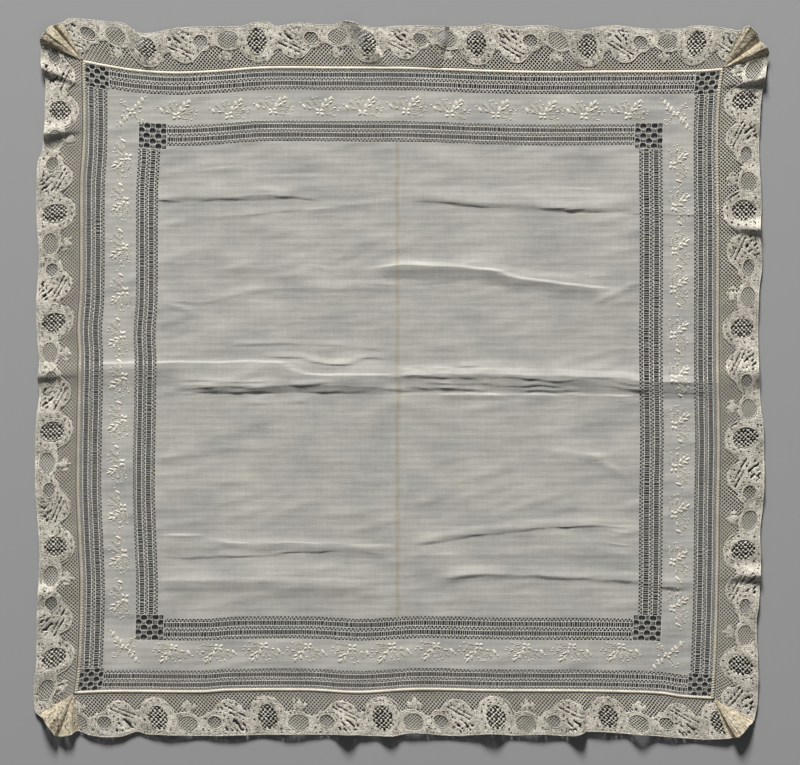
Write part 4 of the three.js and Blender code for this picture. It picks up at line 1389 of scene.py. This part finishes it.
def pinholes(a, b, dice):
    """Rows of pinholes beside the cloth's two borders, and loose ones over the rest."""
    from_border = b - follow(BORDER, np.mod(a, REPEAT))
    rows = np.zeros(a.shape, bool)
    for off, shift, table in (
        (from_border, 0, INNER_PINHOLES), (LACE_WIDTH - b, OUTER_SHIFT, OUTER_PINHOLES)
    ):
        for depth, pitch in table:
            rows |= between(off, (depth, depth + PINHOLE)) & (np.mod(a + shift, pitch) < PINHOLE)
    rows &= dice.random(a.shape) < PINHOLE_SHARE
    return rows | (dice.random(a.shape) < LOOSE_SHARE)


def cloth_mask(s, b, dice):
    """Where the lace is dense cloth rather than net or holes."""
    turned = local(s)
    a = round_scallop(turned)
    ragged = RAGGED * np.cos(math.tau * turned / RAGGED_PITCH)
    ragged = ragged + RAGGED * wavy(s, b, 14, (1.6, 5))
    dense = (b > follow(BORDER, turned) + ragged) | (oval(turned, b, BUD) + ragged < 1)
    row = np.round((b - CHECKER["middle"][1]) / (CHECK_PITCH / 2))
    along = np.mod(a + np.where(row % 2 == 0, 0, CHECK_PITCH / 2), CHECK_PITCH) - CHECK_PITCH / 2
    up = b - CHECKER["middle"][1] - row * CHECK_PITCH / 2
    checkered = oval(a, b, CHECKER) < 1
    dense &= ~(checkered & (np.hypot(along, up) < CHECK_HOLE))
    uneven = 0.8 + 0.4 * wavy(s, b, 15, (2, 6))
    for start, end, half in SLOTS:
        dense &= ~slot(a, b, start, end, half * uneven)
    for x, y in BEADS:
        dense &= np.hypot(a - x, b - y) > BEAD_HOLE
    dense &= ~(pinholes(turned, b, dice) & ~checkered)
    return dense & (oval(a, b, MESH) > 1) & (oval(turned, b, PETAL) > 1)


def lace_cloth():
    """Dense cloth of the scallops, leaves and outer edge, with their holes and pinholes."""
    dice = np.random.default_rng(61)
    s = np.linspace(0, ROUND, round(ROUND / CLOTH_STEP) + 1)
    b = np.linspace(0, LACE_WIDTH, round(LACE_WIDTH / CLOTH_STEP) + 1)
    u, v = np.meshgrid(s, b, indexing="ij")
    middle_s, middle_b = cell_middles(u, v)
    keep = cloth_mask(middle_s, middle_b, dice) & unpleated(middle_s)
    puff = keep + PUFF_SPREAD * dice.normal(size=keep.shape)
    for _ in range(2):
        for axis in (0, 1):
            puff = (np.roll(puff, 1, axis) + puff + np.roll(puff, -1, axis)) / 3

    def place(s_at, b_at):
        i = np.clip((s_at / CLOTH_STEP).astype(int), 0, puff.shape[0] - 1)
        j = np.clip((b_at / CLOTH_STEP).astype(int), 0, puff.shape[1] - 1)
        return on_lace(s_at, b_at, CLOTH_LIFT + PUFF * puff[i, j])

    def walled(s_at, b_at):
        a = round_scallop(local(np.mod(s_at, ROUND)))
        deep = oval(a, b_at, CHECKER) < CHECKER_WALLS
        for start, end, half in SLOTS:
            deep |= slot(a, b_at, start, end, half + SLOT_WALLS)
        for x, y in BEADS:
            deep |= np.hypot(a - x, b_at - y) < BEAD_HOLE + BEAD_WALLS
        return deep

    return [masked_sheet(u, v, keep, place, walled, WALL)]


def seen_tubes(points, seen, radius, sides, deep=0.0):
    """Tubes along paths, only of the segments between points that are seen."""
    made, quads = tubes(points, radius, sides, deep)
    keep = seen[:, :-1] & seen[:, 1:]
    return compact(made, quads.reshape(*keep.shape, sides, 4)[keep])


def lace_net():
    """Open diamond net near the hem, left out where the cloth is."""
    dice = np.random.default_rng(51)
    count = round(ROUND / NET_PITCH)
    parts = []
    b = np.linspace(0, NET_TOP, 13)
    for lean in (1, -1):
        start = np.arange(count) * ROUND / count
        s = np.mod(start[:, None] + lean * NET_SLOPE * b, ROUND)
        s = s + dice.normal(0, NET_SPREAD, s.shape)
        every_b = np.broadcast_to(b, s.shape)
        low = every_b < follow(BORDER, local(np.mod(s, ROUND))) + NET_OVERLAP
        points = on_lace(s, every_b, NET_LIFT + NET_CROSSING * lean)
        parts.append(seen_tubes(points, low & unpleated(s), NET_THREAD, 4, NET_DEPTH))
    return parts


# Threads that fill two of the ovals: pitch, direction in degrees, radius and lift.
FILLINGS = [(MESH, 1.25, 45, 0.16, 0.1), (PETAL, 1.15, 40, 0.2, 0.12)]
TUCKED = 0.4  # how far a filling's threads run under the cloth round them
CROSSING = 0.05  # how far over and under the filling's middle its two directions run


def filling(shape, pitch, degrees, radius, lift):
    """Crossing threads that fill an oval of every repeat."""
    parts = []
    k = np.arange(COUNT)[:, None]
    middle, radii = shape["middle"], shape["radii"]
    reach = max(radii) + pitch
    slope = math.radians(degrees)
    cos, sin = math.cos(slope), math.sin(slope)
    for lean in (1, -1):
        for across in np.arange(-reach, reach + pitch / 2, pitch):
            run = np.linspace(-reach, reach, 13)
            a = run * cos - across * sin
            b = lean * (run * sin + across * cos)
            inside = np.hypot(a / (radii[0] + TUCKED), b / (radii[1] + TUCKED)) < 1
            if inside.sum() < 2:
                continue
            row = (COUNT, inside.sum())
            points, seen = design(
                k, np.broadcast_to(a[inside] + middle[0], row),
                np.broadcast_to(b[inside] + middle[1], row), lift + CROSSING * lean,
            )
            parts.append(seen_tubes(points, seen, radius, 3))
    return parts


def lace_fillings():
    """The meshes of the round and of the petal of every repeat."""
    return [part for row in FILLINGS for part in filling(*row)]


def ellipse(shape, count, grow):
    """Points round an oval, a little outside it."""
    turn = np.linspace(0.0, math.tau, count)
    radii = np.array(shape["radii"]) + grow
    return shape["middle"] + radii * np.stack([np.cos(turn), np.sin(turn)], axis=1)


# Outlining cords of one repeat: radius, then control points.
CORDS = [
    (0.24, [(8.9, 13.0), (8.7, 16.4), (10.3, 19.6), (13.6, 20.6), (18.0, 20.4), (22.4, 20.5),
            (25.6, 18.8), (28.2, 18.1)]),
    (0.27, [(10.2, 12.4), (12.3, 9.2), (14.0, 5.8), (17.3, 3.9), (20.7, 3.8), (24.0, 5.6),
            (27.3, 9.0), (29.8, 9.5), (32.7, 12.3)]),
    (0.29, [(30.2, 17.2), (31.9, 15.0), (36.0, 11.6), (39.0, 9.8), (42.6, 9.4), (45.7, 10.3)]),
    (0.20, [(10.6, 13.6), (15.6, 10.6), (22.8, 6.3)]),
    (0.20, [(12.2, 14.8), (17.6, 11.4), (24.4, 7.8)]),
    (0.18, [(9.8, 11.4), (13.4, 8.8), (19.0, 5.0)]),
    (0.22, [(45.9, 19.6), (48.5, 17.6), (49.1, 13.8), (47.2, 10.0)]),
    (0.18, [(34.0, 18.2), (36.6, 20.1), (40.6, 20.6), (44.8, 19.7)]),
    (0.23, [(-8.4, 17.4), (-8.9, 11.4), (-7.0, 6.0), (-3.4, 2.8), (0.8, 2.1), (4.6, 3.4),
            (7.4, 6.8)]),
    (0.18, [(7.0, 17.8), (8.3, 14.2), (8.2, 10.4)]),
]
CORD_LIFT = 0.25
CORD_SPREAD = 0.2  # of a whole cord's place from one repeat to the next
CORD_WOBBLE = 0.09  # of its points
# Cords round the ovals: points, how far outside, radius and lift.
RINGS = [(CHECKER, 26, 0.1, 0.2, 0.4), (MESH, 20, 0.25, 0.24, 0.4), (PETAL, 24, 0.0, 0.2, 0.38)]
BEAD_RADIUS = 0.17
BEAD_LIFT = 0.42
BEAD_SPREAD = 0.12


def lace_cords():
    """Outlining cords and small rings of every repeat, none of them quite even."""
    dice = np.random.default_rng(31)
    k = np.arange(COUNT)[:, None]
    parts = []

    def cord(line, radius, sides, lift, spread=CORD_SPREAD):
        shift = dice.normal(0, spread, (COUNT, 1, 2))
        moved = line[None] + shift + dice.normal(0, CORD_WOBBLE, (COUNT, len(line), 2))
        points, seen = design(k, moved[..., 0], moved[..., 1], lift)
        parts.append(seen_tubes(points, seen, radius, sides))

    for radius, control in CORDS:
        cord(spline(control, 2 + 4 * len(control)), radius, 4, CORD_LIFT)
    for shape, count, grow, radius, lift in RINGS:
        cord(ellipse(shape, count, grow), radius, 3, lift)
    for middle in BEADS:
        bead = {"middle": middle, "radii": (BEAD_RING, BEAD_RING)}
        cord(ellipse(bead, 8, 0.0), BEAD_RADIUS, 3, BEAD_LIFT, BEAD_SPREAD)
    return parts


EDGE_OUT = 20.8  # of the edge cord from the hem, on the nominal strip
EDGE_STEP = 0.65
EDGE_RADIUS = 0.22
PICOT = 0.12  # how far the picots stand out, each way
PICOT_PITCH = 1.9


def outer_edge():
    """The firm outer edge of the lace: a cord with small uneven picots."""
    s = np.linspace(0, ROUND, round(ROUND / EDGE_STEP))
    picots = PICOT * np.sin(s * math.tau / PICOT_PITCH) + 0.1 * wavy(s, 0, 16, (2, 9))
    return [tubes(on_lace(s, EDGE_OUT + picots, CORD_LIFT)[None], EDGE_RADIUS, 4)]


PLEAT_GRID = (121, 43)  # points of one corner's sheet, along and out
PLEAT_LIFT = 0.35
GATHER = 0.24  # height of the fine gathers of the pleats
# Clockwise from the top right, how rare the worn holes in each corner's pleats are.
PLEAT_HOLES = (1.15, 3.0, 0.85, 1.15)
WHOLE_WITHIN = 6  # how far out from the hem the pleats have no holes


def corner_pleats():
    """Dense gathered cloth of the pleats at the four corners."""
    parts = []
    for corner, rare in zip(CORNER_S, PLEAT_HOLES):
        ends = (corner - CORNER_LENGTH / 2, corner + CORNER_LENGTH / 2)
        s = np.linspace(*ends, PLEAT_GRID[0])
        b = np.linspace(0, LACE_WIDTH, PLEAT_GRID[1])
        u, v = np.meshgrid(s, b, indexing="ij")
        middle_s, middle_b = cell_middles(u, v)
        holes = wavy(middle_s * 3, middle_b, 18, (1.3, 3.2)) > rare
        holes &= middle_b > WHOLE_WITHIN
        gathers = wavy(u, v * 0.02, 19, (0.4, 1.3)) + 0.5 * wavy(u * 3, v, 20, (1.5, 4))
        rise = PLEAT_LIFT + GATHER * gathers * np.sqrt(v / LACE_WIDTH)
        parts.append(grid(on_lace(u, v, rise), ~holes.ravel()))
    return parts


# ---------------------------------------------------------------- the handkerchief

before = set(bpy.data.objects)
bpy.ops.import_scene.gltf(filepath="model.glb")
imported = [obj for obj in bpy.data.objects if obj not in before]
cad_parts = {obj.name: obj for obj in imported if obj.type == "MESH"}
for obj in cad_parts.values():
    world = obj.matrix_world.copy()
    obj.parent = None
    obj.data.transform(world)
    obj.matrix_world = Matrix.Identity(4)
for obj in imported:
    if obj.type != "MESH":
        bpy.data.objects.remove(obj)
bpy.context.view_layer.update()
stage()

LINEN = linen_material()
DRAWN = thread_material("drawn_thread", (214, 212, 204), (238, 236, 228), 0.2, 900)
OPENWORK = thread_material("openwork_thread", (200, 198, 189), (226, 224, 215), 0.2, 900)
WHITEWORK = thread_material("whitework_thread", (216, 210, 197), (236, 231, 219), 0.3, 1400)
FERN_STITCH = thread_material("fern_stitch", (220, 215, 203), (240, 235, 223), 0.2, 1400)
HEM_THREAD = thread_material("hem_thread", (216, 208, 190), (240, 233, 216), 0.3, 1200)
LACE_CLOTH = thread_material(
    "lace_cloth", (148, 143, 131), (242, 237, 224), 0.2, 1500, mottle=0.7, depth=0.0004
)
LACE_NET = thread_material("lace_net", (218, 212, 198), (243, 237, 224), 0.2, 900)
LACE_MESH = thread_material("lace_mesh", (206, 201, 187), (238, 233, 219), 0.2, 900)
LACE_CORD = thread_material("lace_cord", (190, 184, 169), (240, 235, 222), 0.25, 1300, mottle=0.6)
PLEAT_CLOTH = thread_material(
    "pleat_cloth", (150, 138, 114), (226, 215, 190), 0.25, 800, mottle=0.7, depth=0.0006
)

linen_parts = [
    piece("linen_ground", [linen_ground()], LINEN),
    piece("outer_drawn_band", drawn_band(OUTER_BAND, SQUARES[0], 41), DRAWN, smooth=False),
    piece("inner_drawn_band", drawn_band(INNER_BAND, SQUARES[1], 42), DRAWN, smooth=False),
]
satin, ferns = sprays()
linen_parts += [
    piece("openwork_squares", openwork(), OPENWORK, smooth=False),
    piece("whitework_sprays", satin, WHITEWORK),
    piece("fern_stitches", ferns, FERN_STITCH),
    piece("rolled_hem", hem_roll(), HEM_THREAD),
    piece("hem_whipping", whipping(), HEM_THREAD),
]
lace_parts = [
    piece("lace_cloth", lace_cloth(), LACE_CLOTH),
    piece("lace_net", lace_net(), LACE_NET, smooth=False),
    piece("lace_fillings", lace_fillings(), LACE_MESH),
    piece("lace_cords", lace_cords(), LACE_CORD),
    piece("lace_outer_edge", outer_edge(), LACE_CORD),
    piece("corner_pleats", corner_pleats(), PLEAT_CLOTH),
]
for part in linen_parts:
    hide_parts("linen_cloth")
for part in lace_parts:
    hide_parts("lace_edging")
